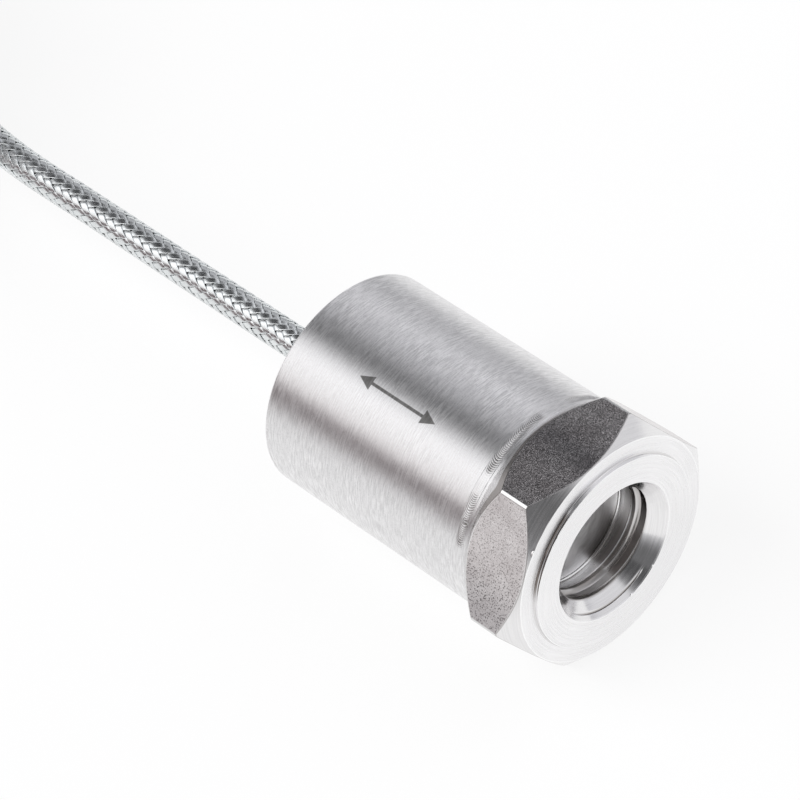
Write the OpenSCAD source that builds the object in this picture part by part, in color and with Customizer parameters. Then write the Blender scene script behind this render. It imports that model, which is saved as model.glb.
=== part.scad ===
// Vibration sensor: a compression accelerometer in a turned steel case, with a hexagon
// mounting base, a female mounting thread and a steel braided cable that leaves by the far end.
// Millimetres. X runs out of the mounting bore, Z is up, the origin is the middle of the bearing face.

/* [Case] */
// Outside diameter of the case
case_d = 25; // [23.5:0.5:26]
// Length from the bearing face to the cable end
body_len = 38.9; // [36:0.1:46]
// Wall of the case
case_wall = 1.6; // [1:0.1:2]
// Thickness of the closed cable end
end_wall = 2.4; // [1.6:0.1:3]
// Edge break round the cable end
case_edge = 0.3; // [0.1:0.05:0.6]

/* [Hexagon base] */
// Hexagon across flats
hex_af = 26.2; // [25.9:0.1:30]
// How far the sharp corners of the hexagon are turned down
corner_skim = 0.1; // [0.05:0.05:0.5]
// Length from the bearing face to the end of the rear chamfer
hex_len = 9.1; // [8:0.1:11]
// Angle of the front chamfer from the axis
front_chamfer = 47; // [35:1:60]
// Angle of the rear chamfer from the axis
rear_chamfer = 39; // [30:1:50]
// How far the front shoulder stops short of the flats
shoulder_in = 0.1; // [0.05:0.05:0.5]
// Plain collar between the hexagon and the weld
collar_len = 0.9; // [0.6:0.05:1.5]
// Length of the spigot that centres the case
spigot_len = 2.3; // [1.5:0.1:3]
// Height of the bearing ring over the front shoulder
ring_h = 0.5; // [0.3:0.1:0.9]
// Outside diameter of the bearing ring
ring_d = 22.2; // [20:0.1:24]
// Corner radius at the foot of the bearing ring
ring_foot = 0.15; // [0.05:0.05:0.25]

/* [Mounting bore] */
// Diameter of the countersink's mouth
mouth_d = 16.1; // [15:0.1:18]
// Crest diameter of the mounting thread
thread_d = 12.9; // [11:0.1:13.5]
// Depth where the thread starts
thread_start = 1.9; // [1.5:0.1:2.5]
// Length of the threaded wall
thread_len = 2.4; // [2:0.1:4]
// Diameter of the relief behind the thread
relief_d = 14.1; // [13.6:0.1:16]
// Width of the relief behind the thread
relief_w = 1.8; // [0.8:0.1:2.2]

/* [Weld] */
// Width of the weld bead
weld_w = 1.2; // [0.8:0.1:1.2]
// Depth of the weld's V groove
weld_depth = 0.6; // [0.4:0.1:0.9]
// How far the bead stands over the case
weld_crown = 0.08; // [0.04:0.02:0.2]

/* [Sensing stack] */
// Thickness of the ceramic isolation disc
isolator_t = 1; // [0.6:0.1:1.4]
// How far the isolation disc reaches past the shield
isolator_lip = 0.4; // [0.2:0.1:0.7]
// Thickness of the pedestal's flange
flange_t = 1; // [0.6:0.1:1.4]
// Thickness of the pedestal's step inside the shield
step_t = 1.2; // [0.8:0.1:1.6]
// Diameter of the pedestal's stud
stud_d = 4; // [3:0.1:4.5]
// Outside diameter of the piezo rings
piezo_d = 14; // [12:0.1:14.8]
// Thickness of each piezo ring
piezo_t = 1.5; // [1:0.1:1.9]
// Thickness of the electrode between the rings
electrode_t = 0.2; // [0.1:0.05:0.4]
// Width of the electrode's tab
tab_w = 2.4; // [1.6:0.1:3]
// Thickness of the insulating washer under the mass
washer_t = 0.6; // [0.4:0.1:1]
// Wall of the insulating sleeve on the stud
sleeve_wall = 0.5; // [0.3:0.1:0.7]
// Diameter of the seismic mass
mass_d = 15; // [14:0.1:16]
// Outside diameter of the spring washer
spring_d = 9; // [8:0.1:11]
// Thickness of the spring washer
spring_t = 0.5; // [0.3:0.05:0.7]
// Height that the spring washer's cone adds
spring_rise = 0.3; // [0.1:0.05:0.4]
// Preload nut across flats
nut_af = 7; // [6.4:0.1:8]
// Thickness of the preload nut
nut_t = 2.4; // [1.8:0.1:3]

/* [Shield and amplifier] */
// Air gap between the shield and the case
shield_gap = 0.9; // [0.8:0.1:1.2]
// Wall of the shield can
shield_wall = 0.5; // [0.3:0.1:0.8]
// Room over the stud inside the shield
shield_room = 0.8; // [0.4:0.1:1.4]
// Diameter of the pad under the amplifier board
pad_d = 12; // [8:0.5:13]
// Thickness of the pad
pad_t = 0.5; // [0.3:0.1:0.9]
// How far the board's edge stays inside the shield's
board_in = 0.3; // [0.1:0.1:0.6]
// Thickness of the amplifier board
board_t = 1; // [0.6:0.1:1.6]
// Diameter of the signal lead
lead_d = 0.6; // [0.4:0.05:0.8]

/* [Cable] */
// Diameter of the cable over its braid
cable_d = 3.8; // [3.4:0.1:4]
// Length of the crimp ferrule's barrel
barrel_len = 2; // [1.2:0.1:2.6]
// Wall of the crimp ferrule's barrel
barrel_wall = 0.7; // [0.5:0.1:1]
// Diameter of the crimp ferrule's flange
ferrule_d = 9; // [8:0.1:11]
// Thickness of the crimp ferrule's flange
ferrule_t = 1.2; // [0.8:0.1:1.6]
// Thickness of the resin seal round the ferrule
seal_t = 1.8; // [1.2:0.1:2]
// Diameter of each insulated core
core_d = 1; // [0.8:0.1:1.2]
// Length of each core between the amplifier board and the cable's inner end
core_len = 1.6; // [1:0.1:3]
// Distance between the two cores
core_gap = 1.4; // [1.3:0.1:1.6]
// Diameter of the inner jacket that the cores come out of
jacket_d = 2.9; // [2.7:0.1:3.1]
// Wall of the heat shrink sleeve on the cable's end
shrink_wall = 0.4; // [0.2:0.05:0.6]
// Diameter of the tinned tip on each core
tip_d = 0.6; // [0.4:0.05:0.7]

/* [Cable coil] */
// Diameter of the coil at the middle of its turns
coil_d = 48; // [46:1:52]
// Turns side by side in the coil
coil_cols = 4; // [4:1:5]
// Layers in the coil
coil_rows = 8; // [6:1:9]
// Width of each cable tie
tie_w = 4; // [3:0.5:5]
// Thickness of each cable tie
tie_t = 0.6; // [0.4:0.1:1]

/* [Hidden] */
$fn = 96;
fit_gap = 0.02;
slide_gap = 0.05;
mass_gap = 0.4;
tie_gap = 0.2;
lead_gap = 0.3;
stud_over = 0.6;
stud_edge = 0.3;
mass_edge = 0.4;
shield_edge = 0.3;
lead_over = 0.5;
cable_over = 0.5;
hole_edge = 0.3;
chip_in = 5.1;
resistor_in = 4.1;
capacitor_in = 3.7;
foot_steps = 4;
tube_sides = 8;

case_r = case_d / 2;
cavity_r = case_r - case_wall;
cable_r = cable_d / 2;
corner_r = hex_af / sqrt(3) - corner_skim;
shoulder_r = hex_af / 2 - shoulder_in;
weld_s = hex_len + collar_len;
base_top = weld_s + spigot_len;
floor_z = -hex_af / 2;

shield_r = cavity_r - shield_gap;
shield_ir = shield_r - shield_wall;
flange_s = base_top + isolator_t;
rim_s = flange_s + flange_t;
stack_s = rim_s + step_t;
electrode_s = stack_s + piezo_t;
upper_s = electrode_s + electrode_t;
washer_s = upper_s + piezo_t;
mass_s = washer_s + washer_t;
seat_s = body_len - end_wall;
ferrule_s = seat_s - ferrule_t;
cable_in_s = ferrule_s - barrel_len - cable_over;
over_mass = spring_t + spring_rise + nut_t + stud_over + shield_room + shield_wall + pad_t + board_t;

// The seismic mass fills the length that the rest of the stack leaves
mass_t = cable_in_s - core_len - over_mass - mass_s;
spring_s = mass_s + mass_t;
nut_s = spring_s + spring_t + spring_rise;
stud_top = nut_s + nut_t + stud_over;
shield_top = stud_top + shield_room + shield_wall;
board_s = shield_top + pad_t;
board_top = board_s + board_t;
sleeve_r = stud_d / 2 + slide_gap + sleeve_wall;
ring_hole_r = sleeve_r + slide_gap;
lead_r = (mass_d / 2 + shield_ir) / 2;
lead_hole_d = lead_d + 2 * lead_gap;
board_r = shield_r - board_in;

coil_x = -146;
coil_y = -18;
coil_r = coil_d / 2;
coil_out = coil_r + coil_cols * cable_d / 2;
coil_in = coil_r - coil_cols * cable_d / 2;
coil_h = coil_rows * cable_d;
coil_z = floor_z + tie_t + tie_gap;
coil_turn = coil_out - cable_r;
coil_edge = 0.3 * cable_d;
stub_len = sqrt(coil_out * coil_out - pow(coil_turn - cable_r, 2)) + 1;
entry_z = coil_z + cable_r + 0.1;
shrink_r = cable_r + slide_gap + shrink_wall;
tail_r = coil_r + cable_r;
tail_z = coil_h + shrink_r;

// Middle line of the cable from the ferrule to the coil, with round points chosen by hand
route = concat(
    [[-cable_in_s, 0, 0]],
    [
        [-55, 0, 0], [-64, 0, 0], [-73, 0, 0], [-82, 0, 0], [-90, 0, -0.1], [-96, 0.4, -0.5],
        [-102, 1.4, -1.4], [-107, 3, -2.8], [-112, 5.2, -4.7], [-117, 7.6, -6.8], [-121, 9.4, -8.4],
        [-125, 10.8, -9.6]
    ],
    [[coil_x + stub_len, coil_y + coil_turn, entry_z]]
);

function unit(v) = v / norm(v);

function heading(pts, i) =
    i == 0 ? unit(pts[1] - pts[0])
    : i == len(pts) - 1 ? [-1, 0, 0]
    : unit(unit(pts[i] - pts[i - 1]) + unit(pts[i + 1] - pts[i]));

function tube_ring(pts, i, r) =
    let (t = heading(pts, i), side = unit(cross([0, 0, 1], t)), up = cross(t, side))
    [for (k = [0 : tube_sides - 1])
        let (a = 360 * k / tube_sides) pts[i] + r * (cos(a) * side + sin(a) * up)];

function tube_quad(i, k) =
    let (n = tube_sides, j = (k + 1) % n) [i * n + k, i * n + j, i * n + n + j, i * n + n + k];

function foot_arc(r, z) =
    [for (k = [0 : foot_steps])
        let (a = 180 - 90 * k / foot_steps) [r + ring_foot * (1 + cos(a)), z + ring_foot * sin(a)]];

// Depths grow from the bearing face towards the cable, so the turned parts are drawn upright and laid over
module along_axis(depth = 0) {
    rotate([0, -90, 0])
    translate([0, 0, depth])
    children();
}

module turned(outline) {
    rotate_extrude()
    polygon(outline);
}

module plain_ring(outer_d, inner_d, h) {
    difference() {
        cylinder(d = outer_d, h = h);
        translate([0, 0, -1])
        cylinder(d = inner_d, h = h + 2);
    }
}

module tube(pts, r) {
    n = tube_sides;
    last = len(pts) - 1;
    polyhedron(
        points = [for (i = [0 : last]) each tube_ring(pts, i, r)],
        faces = concat(
            [[for (k = [n - 1 : -1 : 0]) k]],
            [for (i = [0 : last - 1]) for (k = [0 : n - 1]) tube_quad(i, k)],
            [[for (k = [0 : n - 1]) last * n + k]]
        )
    );
}

module on_coil() {
    translate([coil_x, coil_y, coil_z])
    children();
}

module coil_arc(from, to, r, z, d) {
    rotate([0, 0, from])
    rotate_extrude(angle = to - from)
    translate([r, z])
    circle(d = d);
}

module base_blank() {
    turned(concat(
        [[0, 0], [ring_d / 2, 0]],
        foot_arc(ring_d / 2, ring_h - ring_foot),
        [
            [shoulder_r, ring_h],
            [corner_r, ring_h + (corner_r - shoulder_r) / tan(front_chamfer)],
            [corner_r, hex_len - (corner_r - case_r) / tan(rear_chamfer)],
            [case_r, hex_len],
            [case_r, weld_s - weld_w / 2],
            [case_r - weld_depth, weld_s],
            [cavity_r - fit_gap, weld_s],
            [cavity_r - fit_gap, base_top],
            [0, base_top]
        ]
    ));
}

module base_bore() {
    thread_end = thread_start + thread_len;
    turned([
        [0, -1],
        [mouth_d / 2, -1],
        [mouth_d / 2, 0],
        [thread_d / 2, thread_start],
        [thread_d / 2, thread_end],
        [relief_d / 2, thread_end],
        [relief_d / 2, thread_end + relief_w],
        [0, thread_end + relief_w]
    ]);
}

module mounting_base() {
    color("Silver")
    along_axis()
    difference() {
        intersection() {
            base_blank();
            rotate([0, 0, 30])
            translate([0, 0, -1])
            cylinder(d = hex_af / cos(30), h = base_top + 2, $fn = 6);
        }
        base_bore();
    }
}

module outer_case() {
    color("Gainsboro")
    along_axis()
    turned([
        [cavity_r, weld_s],
        [case_r - weld_depth, weld_s],
        [case_r, weld_s + weld_w / 2],
        [case_r, body_len - case_edge],
        [case_r - case_edge, body_len],
        [cable_r + slide_gap + hole_edge, body_len],
        [cable_r + slide_gap, body_len - hole_edge],
        [cable_r + slide_gap, seat_s],
        [cavity_r, seat_s]
    ]);
}

module weld_bead() {
    color("DarkGray")
    along_axis(weld_s)
    turned([
        [case_r - weld_depth, 0],
        [case_r, -weld_w / 2],
        [case_r + 0.75 * weld_crown, -weld_w / 4],
        [case_r + weld_crown, 0],
        [case_r + 0.75 * weld_crown, weld_w / 4],
        [case_r, weld_w / 2]
    ]);
}

module isolation_disc() {
    color("Ivory")
    along_axis(base_top)
    cylinder(r = shield_r + isolator_lip, h = isolator_t);
}

module pedestal() {
    color("LightSteelBlue")
    along_axis(flange_s)
    turned([
        [0, 0],
        [shield_r, 0],
        [shield_r, flange_t],
        [shield_ir - fit_gap, flange_t],
        [shield_ir - fit_gap, flange_t + step_t],
        [stud_d / 2, flange_t + step_t],
        [stud_d / 2, stud_top - flange_s - stud_edge],
        [stud_d / 2 - stud_edge, stud_top - flange_s],
        [0, stud_top - flange_s]
    ]);
}

module lower_piezo_ring() {
    color("Wheat")
    along_axis(stack_s)
    plain_ring(piezo_d, 2 * ring_hole_r, piezo_t);
}

module electrode() {
    tab_end = lead_r + lead_d;
    color("Goldenrod")
    along_axis(electrode_s)
    difference() {
        union() {
            cylinder(d = piezo_d, h = electrode_t);
            translate([-tab_w / 2, 0, 0])
            cube([tab_w, tab_end, electrode_t]);
        }
        translate([0, 0, -1])
        cylinder(r = ring_hole_r, h = electrode_t + 2);
    }
}

module upper_piezo_ring() {
    color("Wheat")
    along_axis(upper_s)
    plain_ring(piezo_d, 2 * ring_hole_r, piezo_t);
}

module insulating_washer() {
    color("White")
    along_axis(washer_s)
    plain_ring(piezo_d, 2 * ring_hole_r, washer_t);
}

module insulating_sleeve() {
    color("WhiteSmoke")
    along_axis(stack_s)
    plain_ring(2 * sleeve_r, stud_d + 2 * slide_gap, mass_s - stack_s);
}

module seismic_mass() {
    bore_r = stud_d / 2 + mass_gap;
    color("DimGray")
    along_axis(mass_s)
    turned([
        [bore_r, 0],
        [mass_d / 2 - mass_edge, 0],
        [mass_d / 2, mass_edge],
        [mass_d / 2, mass_t - mass_edge],
        [mass_d / 2 - mass_edge, mass_t],
        [bore_r, mass_t]
    ]);
}

module spring_washer() {
    bore_r = stud_d / 2 + slide_gap;
    color("SlateGray")
    along_axis(spring_s)
    turned([
        [bore_r, spring_rise],
        [spring_d / 2, 0],
        [spring_d / 2, spring_t],
        [bore_r, spring_rise + spring_t]
    ]);
}

module preload_nut() {
    color("Silver")
    along_axis(nut_s)
    difference() {
        cylinder(d = nut_af / cos(30), h = nut_t, $fn = 6);
        translate([0, 0, -1])
        cylinder(r = stud_d / 2 + fit_gap, h = nut_t + 2);
    }
}

module shield_can() {
    color("LightGray")
    along_axis()
    difference() {
        turned([
            [shield_ir, rim_s],
            [shield_r, rim_s],
            [shield_r, shield_top - shield_edge],
            [shield_r - shield_edge, shield_top],
            [0, shield_top],
            [0, shield_top - shield_wall],
            [shield_ir, shield_top - shield_wall]
        ]);
        translate([0, lead_r, shield_top - shield_wall - 1])
        cylinder(d = lead_hole_d, h = shield_wall + 2);
    }
}

module board_pad() {
    color("DarkOrange")
    along_axis(shield_top)
    cylinder(d = pad_d, h = pad_t);
}

module amplifier_board() {
    color("DarkGreen")
    along_axis(board_s)
    difference() {
        cylinder(r = board_r, h = board_t);
        translate([0, lead_r, -1])
        cylinder(d = lead_d + 2 * slide_gap, h = board_t + 2);
    }
}

module amplifier_chip() {
    color("Black")
    along_axis(board_top)
    translate([board_r - chip_in, 0, 0]) {
        translate([-1.6, -2, 0.15])
        cube([3.2, 4, 1.2]);
        for (x = [-2.2, 1.4], y = [-1.7 : 1.1 : 1.6])
            translate([x, y, 0])
            cube([0.8, 0.4, 0.4]);
    }
}

module board_resistors() {
    color("DarkSlateGray")
    along_axis(board_top)
    for (y = [-4.6, -2.6, 1.4])
        translate([resistor_in - board_r, y, 0])
        cube([2.2, 1.2, 0.6]);
}

module board_capacitors() {
    color("Peru")
    along_axis(board_top) {
        translate([-1.2, capacitor_in - board_r, 0])
        cube([2.6, 1.6, 1.2]);
        translate([-4.4, board_r - chip_in, 0])
        cube([2, 1.2, 1]);
    }
}

module signal_lead() {
    color("Gold")
    along_axis(upper_s)
    translate([0, lead_r, 0])
    cylinder(d = lead_d, h = board_top + lead_over - upper_s);
}

module crimp_ferrule() {
    bore_r = cable_r + fit_gap;
    color("Silver")
    along_axis(seat_s)
    turned([
        [bore_r, 0],
        [ferrule_d / 2, 0],
        [ferrule_d / 2, -ferrule_t],
        [bore_r + barrel_wall, -ferrule_t],
        [bore_r + barrel_wall, -ferrule_t - barrel_len],
        [bore_r, -ferrule_t - barrel_len]
    ]);
}

module entry_seal() {
    ferrule_r = ferrule_d / 2 + fit_gap;
    barrel_r = cable_r + 2 * fit_gap + barrel_wall;
    color("DarkSlateBlue")
    along_axis(seat_s)
    turned([
        [ferrule_r, 0],
        [cavity_r - fit_gap, 0],
        [cavity_r - fit_gap, -seal_t],
        [barrel_r, -seal_t],
        [barrel_r, -ferrule_t - fit_gap],
        [ferrule_r, -ferrule_t - fit_gap]
    ]);
}

module inner_core(side) {
    along_axis(board_top)
    translate([0, side * core_gap / 2, 0])
    cylinder(d = core_d, h = cable_in_s - board_top);
}

module signal_core() {
    color("Red")
    inner_core(1);
}

module return_core() {
    color("White")
    inner_core(-1);
}

module cable_run() {
    color("Silver")
    tube(route, cable_r);
}

module coil_section(grow) {
    w = coil_out - coil_in + 2 * grow;
    h = coil_h + 2 * grow;
    e = coil_edge;
    translate([coil_in - grow, -grow])
    polygon([[e, 0], [w - e, 0], [w, e], [w, h - e], [w - e, h], [e, h], [0, h - e], [0, e]]);
}

module cable_coil() {
    color("Silver")
    on_coil() {
        rotate_extrude()
        coil_section(0);
        translate([3, coil_turn, entry_z - coil_z])
        rotate([0, 90, 0])
        cylinder(r = cable_r, h = stub_len - 3);
        coil_arc(90, 132, tail_r, tail_z, cable_d);
    }
}

module cable_tie(angle) {
    color("DimGray")
    on_coil()
    rotate([0, 0, angle]) {
        rotate([90, 0, 0])
        translate([0, 0, -tie_w / 2])
        linear_extrude(tie_w)
        difference() {
            coil_section(tie_gap + tie_t);
            coil_section(tie_gap);
        }
        translate([coil_out + tie_gap, -0.65 * tie_w, coil_h / 2])
        cube([3.2, 1.3 * tie_w, 4.4]);
    }
}

module cable_tie_near() {
    cable_tie(42);
}

module cable_tie_far() {
    cable_tie(222);
}

module shrink_sleeve() {
    color("Black")
    on_coil()
    difference() {
        coil_arc(115, 150, tail_r, tail_z, 2 * shrink_r);
        coil_arc(114, 151, tail_r, tail_z, cable_d + 2 * slide_gap);
    }
}

module inner_jacket() {
    color("DarkGray")
    on_coil()
    coil_arc(132, 162, tail_r, tail_z, jacket_d);
}

module red_lead() {
    color("Red")
    on_coil()
    coil_arc(162, 204, tail_r + core_gap / 2, tail_z, core_d);
}

module white_lead() {
    color("White")
    on_coil()
    coil_arc(162, 204, tail_r - core_gap / 2, tail_z, core_d);
}

module screen_lead() {
    color("Silver")
    on_coil()
    coil_arc(162, 198, tail_r, tail_z - 0.8, 0.8);
}

module lead_tips() {
    color("LightGray")
    on_coil()
    for (side = [-1, 1])
        coil_arc(204, 212, tail_r + side * core_gap / 2, tail_z, tip_d);
}

mounting_base();
outer_case();
weld_bead();
isolation_disc();
pedestal();
lower_piezo_ring();
electrode();
upper_piezo_ring();
insulating_washer();
insulating_sleeve();
seismic_mass();
spring_washer();
preload_nut();
shield_can();
board_pad();
amplifier_board();
amplifier_chip();
board_resistors();
board_capacitors();
signal_lead();
crimp_ferrule();
entry_seal();
signal_core();
return_core();
cable_run();
cable_coil();
cable_tie_near();
cable_tie_far();
shrink_sleeve();
inner_jacket();
red_lead();
white_lead();
screen_lead();
lead_tips();
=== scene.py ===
import bpy
import numpy as np
from mathutils import Matrix


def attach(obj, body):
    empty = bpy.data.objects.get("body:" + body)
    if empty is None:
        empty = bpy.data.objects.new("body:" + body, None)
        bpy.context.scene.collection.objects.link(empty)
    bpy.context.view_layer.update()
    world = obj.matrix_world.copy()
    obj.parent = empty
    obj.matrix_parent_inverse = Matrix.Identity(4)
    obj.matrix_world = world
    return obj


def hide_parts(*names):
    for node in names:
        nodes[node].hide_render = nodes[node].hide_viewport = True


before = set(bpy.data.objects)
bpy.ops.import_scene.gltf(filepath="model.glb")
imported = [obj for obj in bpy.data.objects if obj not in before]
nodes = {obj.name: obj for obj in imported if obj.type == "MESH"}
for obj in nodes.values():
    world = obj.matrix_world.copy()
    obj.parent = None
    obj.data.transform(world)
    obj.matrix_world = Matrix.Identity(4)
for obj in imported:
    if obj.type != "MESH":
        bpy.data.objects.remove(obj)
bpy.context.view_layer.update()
mm = 0.001
print("frame loaded,", len(nodes), "nodes")


def addTurned(name, data, axes, place):
    # an object with the given right, up and back directions, at a place in metres
    turn = np.eye(4)
    turn[:3] = np.stack([*axes, place], -1)
    made = bpy.data.objects.new(name, data)
    made.matrix_world = Matrix(turn.tolist())
    bpy.context.scene.collection.objects.link(made)
    return made


# the eye of the picture, in millimetres, with its three directions
photoEye = {
    "place": (223.05, -164.79, 341.39),
    "right": (0.69397, 0.69698, -0.18064),
    "up": (-0.45456, 0.61867, 0.64079),
    "back": (0.55838, -0.36257, 0.74616),
    "lens": 195.3,
    "sensor": 36.0,
    "clip": (0.01, 20.0),   # metres
}


def setCamera(eye):
    data = bpy.data.cameras.new("photoEye")
    data.lens, data.sensor_width = eye["lens"], eye["sensor"]
    data.clip_start, data.clip_end = eye["clip"]
    axes = eye["right"], eye["up"], eye["back"]
    bpy.context.scene.camera = addTurned("photoEye", data, axes, np.array(eye["place"]) * mm)


setCamera(photoEye)
print("camera set")


# soft steps, and nets of points

def smooth(t):
    # soft cubic step from 0 to 1, level at both ends
    t = np.clip(t, 0, 1)
    return t * t * (3 - 2 * t)


def rise(x, start, end):
    # soft step from 0 at the start to 1 at the end, which may be the smaller
    return smooth((x - start) / (end - start))


def span(x, start, full, wane, end):
    # rises from start to full and falls from wane to end
    return rise(x, start, full) * rise(x, end, wane)


def bell(x, middle, wide):
    # falls off evenly to both sides of the middle, as e to minus the square of the distance over the width
    return np.exp(-((x - middle) / wide) ** 2)


def halfTurn(degrees):
    # the same angle, from -180 to 180
    return np.mod(degrees + 180, 360) - 180


def ringOf(count):
    # angles evenly round a circle
    return np.arange(count) / count * 2 * np.pi


def joined(*parts):
    # arrays side by side in a new last axis
    return np.stack(np.broadcast_arrays(*parts), -1)


def net(grid, closeRows=False, closeCols=True, poles=(None, None), uv=None, slots=None, marks=None):
    # a net of rows by columns becomes quads, and a pole joins an end row to one point by triangles;
    # the order of the corners is turned round where the closed net's volume comes out negative
    rows, cols = grid.shape[:2]
    r = np.arange(rows if closeRows else rows - 1)[:, None]
    c = np.arange(cols if closeCols else cols - 1)[None, :]
    rNext, cNext = (r + 1) % rows, (c + 1) % cols
    quads = joined(r * cols + c, r * cols + cNext, rNext * cols + cNext, rNext * cols + c).reshape(-1, 4)
    points = grid.reshape(-1, 3)
    if uv is None:
        uv = np.zeros((rows + closeRows, cols + closeCols, 2))
    quadUv = np.stack([uv[:-1, :-1], uv[:-1, 1:], uv[1:, 1:], uv[1:, :-1]], 2).reshape(-1, 4, 2)
    quadSlots = np.repeat(np.zeros(r.size, int) if slots is None else np.asarray(slots)[:r.size], c.size)
    tris, triUv = [np.zeros((0, 3), int)], [np.zeros((0, 3, 2))]
    edge = np.arange(cols)
    for pole, row, order in ((poles[0], 0, (0, 2, 1)), (poles[1], rows - 1, (0, 1, 2))):
        if pole is None:
            continue
        tip = np.full(cols, len(points))
        points = np.vstack([points, pole])
        rim = uv[-1 if row else 0]
        mid = (rim[:-1] + rim[1:]) / 2
        tris.append(np.stack([tip, row * cols + edge, row * cols + (edge + 1) % cols], -1)[:, order])
        triUv.append(np.stack([mid, rim[:-1], rim[1:]], 1)[:, order])
    tris, triUv = np.concatenate(tris), np.concatenate(triUv)
    flat = np.concatenate([quads[:, [0, 1, 2]], quads[:, [0, 2, 3]], tris])
    a, b, d = (points[flat[:, k]] for k in range(3))
    if np.einsum("ij,ij->i", a, np.cross(b, d)).sum() < 0:
        quads, quadUv, tris, triUv = (x[:, ::-1] for x in (quads, quadUv, tris, triUv))
    spare = np.zeros(len(points) - rows * cols)
    marks = {label: np.concatenate([values.ravel(), spare]) for label, values in (marks or {}).items()}
    return {"points": points, "quads": quads, "tris": tris, "quadUv": quadUv, "triUv": triUv,
            "quadSlots": quadSlots, "triSlots": np.zeros(len(tris), int), "marks": marks}


def makePiece(name, nets, materials):
    # joins several nets into one mesh whose place is in its points
    offsets = np.cumsum([0] + [len(n["points"]) for n in nets[:-1]])
    points = np.concatenate([n["points"] for n in nets]) * mm
    quads = np.concatenate([n["quads"] + o for n, o in zip(nets, offsets)])
    tris = np.concatenate([n["tris"] + o for n, o in zip(nets, offsets)])
    corners = np.concatenate([quads.ravel(), tris.ravel()]).astype(np.int32)
    starts = np.concatenate([np.arange(len(quads)) * 4, len(quads) * 4 + np.arange(len(tris)) * 3])
    uv = np.concatenate([n[key].reshape(-1, 2) for key in ("quadUv", "triUv") for n in nets])
    slots = np.concatenate([n[key] for key in ("quadSlots", "triSlots") for n in nets])
    mesh = bpy.data.meshes.new(name)
    mesh.vertices.add(len(points))
    mesh.vertices.foreach_set("co", points.astype(np.float32).ravel())
    mesh.loops.add(len(corners))
    mesh.polygons.add(len(starts))
    mesh.polygons.foreach_set("loop_start", starts.astype(np.int32))
    mesh.polygons.foreach_set("vertices", corners)
    mesh.uv_layers.new(name="surface").data.foreach_set("uv", uv.astype(np.float32).ravel())
    for label in nets[0]["marks"]:
        values = np.concatenate([n["marks"][label] for n in nets])
        mesh.attributes.new(label, "FLOAT", "POINT").data.foreach_set("value", values.astype(np.float32))
    for material in materials:
        mesh.materials.append(material)
    mesh.polygons.foreach_set("material_index", slots.astype(np.int32))
    mesh.update(calc_edges=True)
    mesh.shade_smooth()
    piece = bpy.data.objects.new(name, mesh)
    bpy.context.scene.collection.objects.link(piece)
    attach(piece, "root")
    print("piece", name, len(quads) * 2 + len(tris), "triangles")
    return piece


def lathe(profile, angles):
    # turns rows of depth and radius, one pair per angle, about the sensor's axis
    depth, radius = profile[..., 0], profile[..., 1]
    return joined(-depth, radius * np.cos(angles), radius * np.sin(angles))


def roundedChain(corners, setbacks, cuts, cols):
    # each inner corner gives way to a quadratic arc that begins and ends its setback away,
    # and each straight run keeps rows at the given fractions of its length; also tells which run a row is in
    chain = np.stack([joined(depth + np.zeros(cols), radius) for depth, radius in corners])
    t = np.linspace(0, 1, 5)[:, None, None]
    rows, runs = [], []
    for i, corner in enumerate(chain):
        if i in (0, len(chain) - 1):
            arc = corner[None]
        else:
            back, ahead = chain[i - 1] - corner, chain[i + 1] - corner
            backLen = np.linalg.norm(back, axis=-1, keepdims=True)
            aheadLen = np.linalg.norm(ahead, axis=-1, keepdims=True)
            d = np.minimum(np.reshape(setbacks[i], (-1, 1)), 0.45 * np.minimum(backLen, aheadLen))
            a, b = corner + back / backLen * d, corner + ahead / aheadLen * d
            arc = (1 - t) ** 2 * a + 2 * t * (1 - t) * corner + t ** 2 * b
        if rows:
            f = np.array(cuts[i - 1])[:, None, None]
            rows.append(rows[-1][-1] * (1 - f) + arc[0] * f)
            runs.append(np.full(len(f), i - 1))
        rows.append(arc)
        runs.append(np.full(len(arc), i - 1 if i == len(chain) - 1 else -1 - i))
    return np.concatenate(rows), np.concatenate(runs)


def surfaceUv(grid, angles, roundMm):
    # first coordinate: length along the profile in mm; second: the angle as mm round
    step = np.linalg.norm(np.diff(grid, axis=0), axis=-1).mean(-1)
    along = np.concatenate([[0], np.cumsum(step)])
    turn = np.concatenate([angles, [angles[0] + 2 * np.pi]]) / (2 * np.pi) * roundMm
    return joined(along[:, None], turn)


# shader nodes; a socket knows the tree that it belongs to

def give(value, target):
    # a number or colour is set on the socket, and another socket is linked to it
    if isinstance(value, (int, float, tuple)):
        target.default_value = value
    else:
        value.id_data.links.new(value, target)


def addNode(tree, kind, given=None, **settings):
    # a node with its settings, and with what its inputs are given by name or number
    n = tree.nodes.new(kind)
    for label, value in settings.items():
        setattr(n, label, value)
    for target, value in (given or {}).items():
        give(value, n.inputs[target])
    return n.outputs


def mathNode(operation, *given):
    tree = next(v.id_data for v in given if not isinstance(v, (int, float)))
    return addNode(tree, "ShaderNodeMath", dict(enumerate(given)), operation=operation)[0]


def plus(a, b):
    return mathNode("ADD", a, b)


def minus(a, b):
    return mathNode("SUBTRACT", a, b)


def times(a, b):
    return mathNode("MULTIPLY", a, b)


def timesPlus(a, b, c):
    return mathNode("MULTIPLY_ADD", a, b, c)


def shared(a, b, part):
    # that part of the first and the rest of the second
    return timesPlus(a, part, times(b, 1 - part))


def mapRange(value, low, high, toLow=0.0, toHigh=1.0):
    given = dict(enumerate((value, low, high, toLow, toHigh)))
    return addNode(value.id_data, "ShaderNodeMapRange", given, interpolation_type="SMOOTHSTEP")[0]


def noise(vector, detail, roughness):
    given = {"Vector": vector, "Scale": 1.0, "Detail": detail, "Roughness": roughness}
    return addNode(vector.id_data, "ShaderNodeTexNoise", given)[0]


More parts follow.
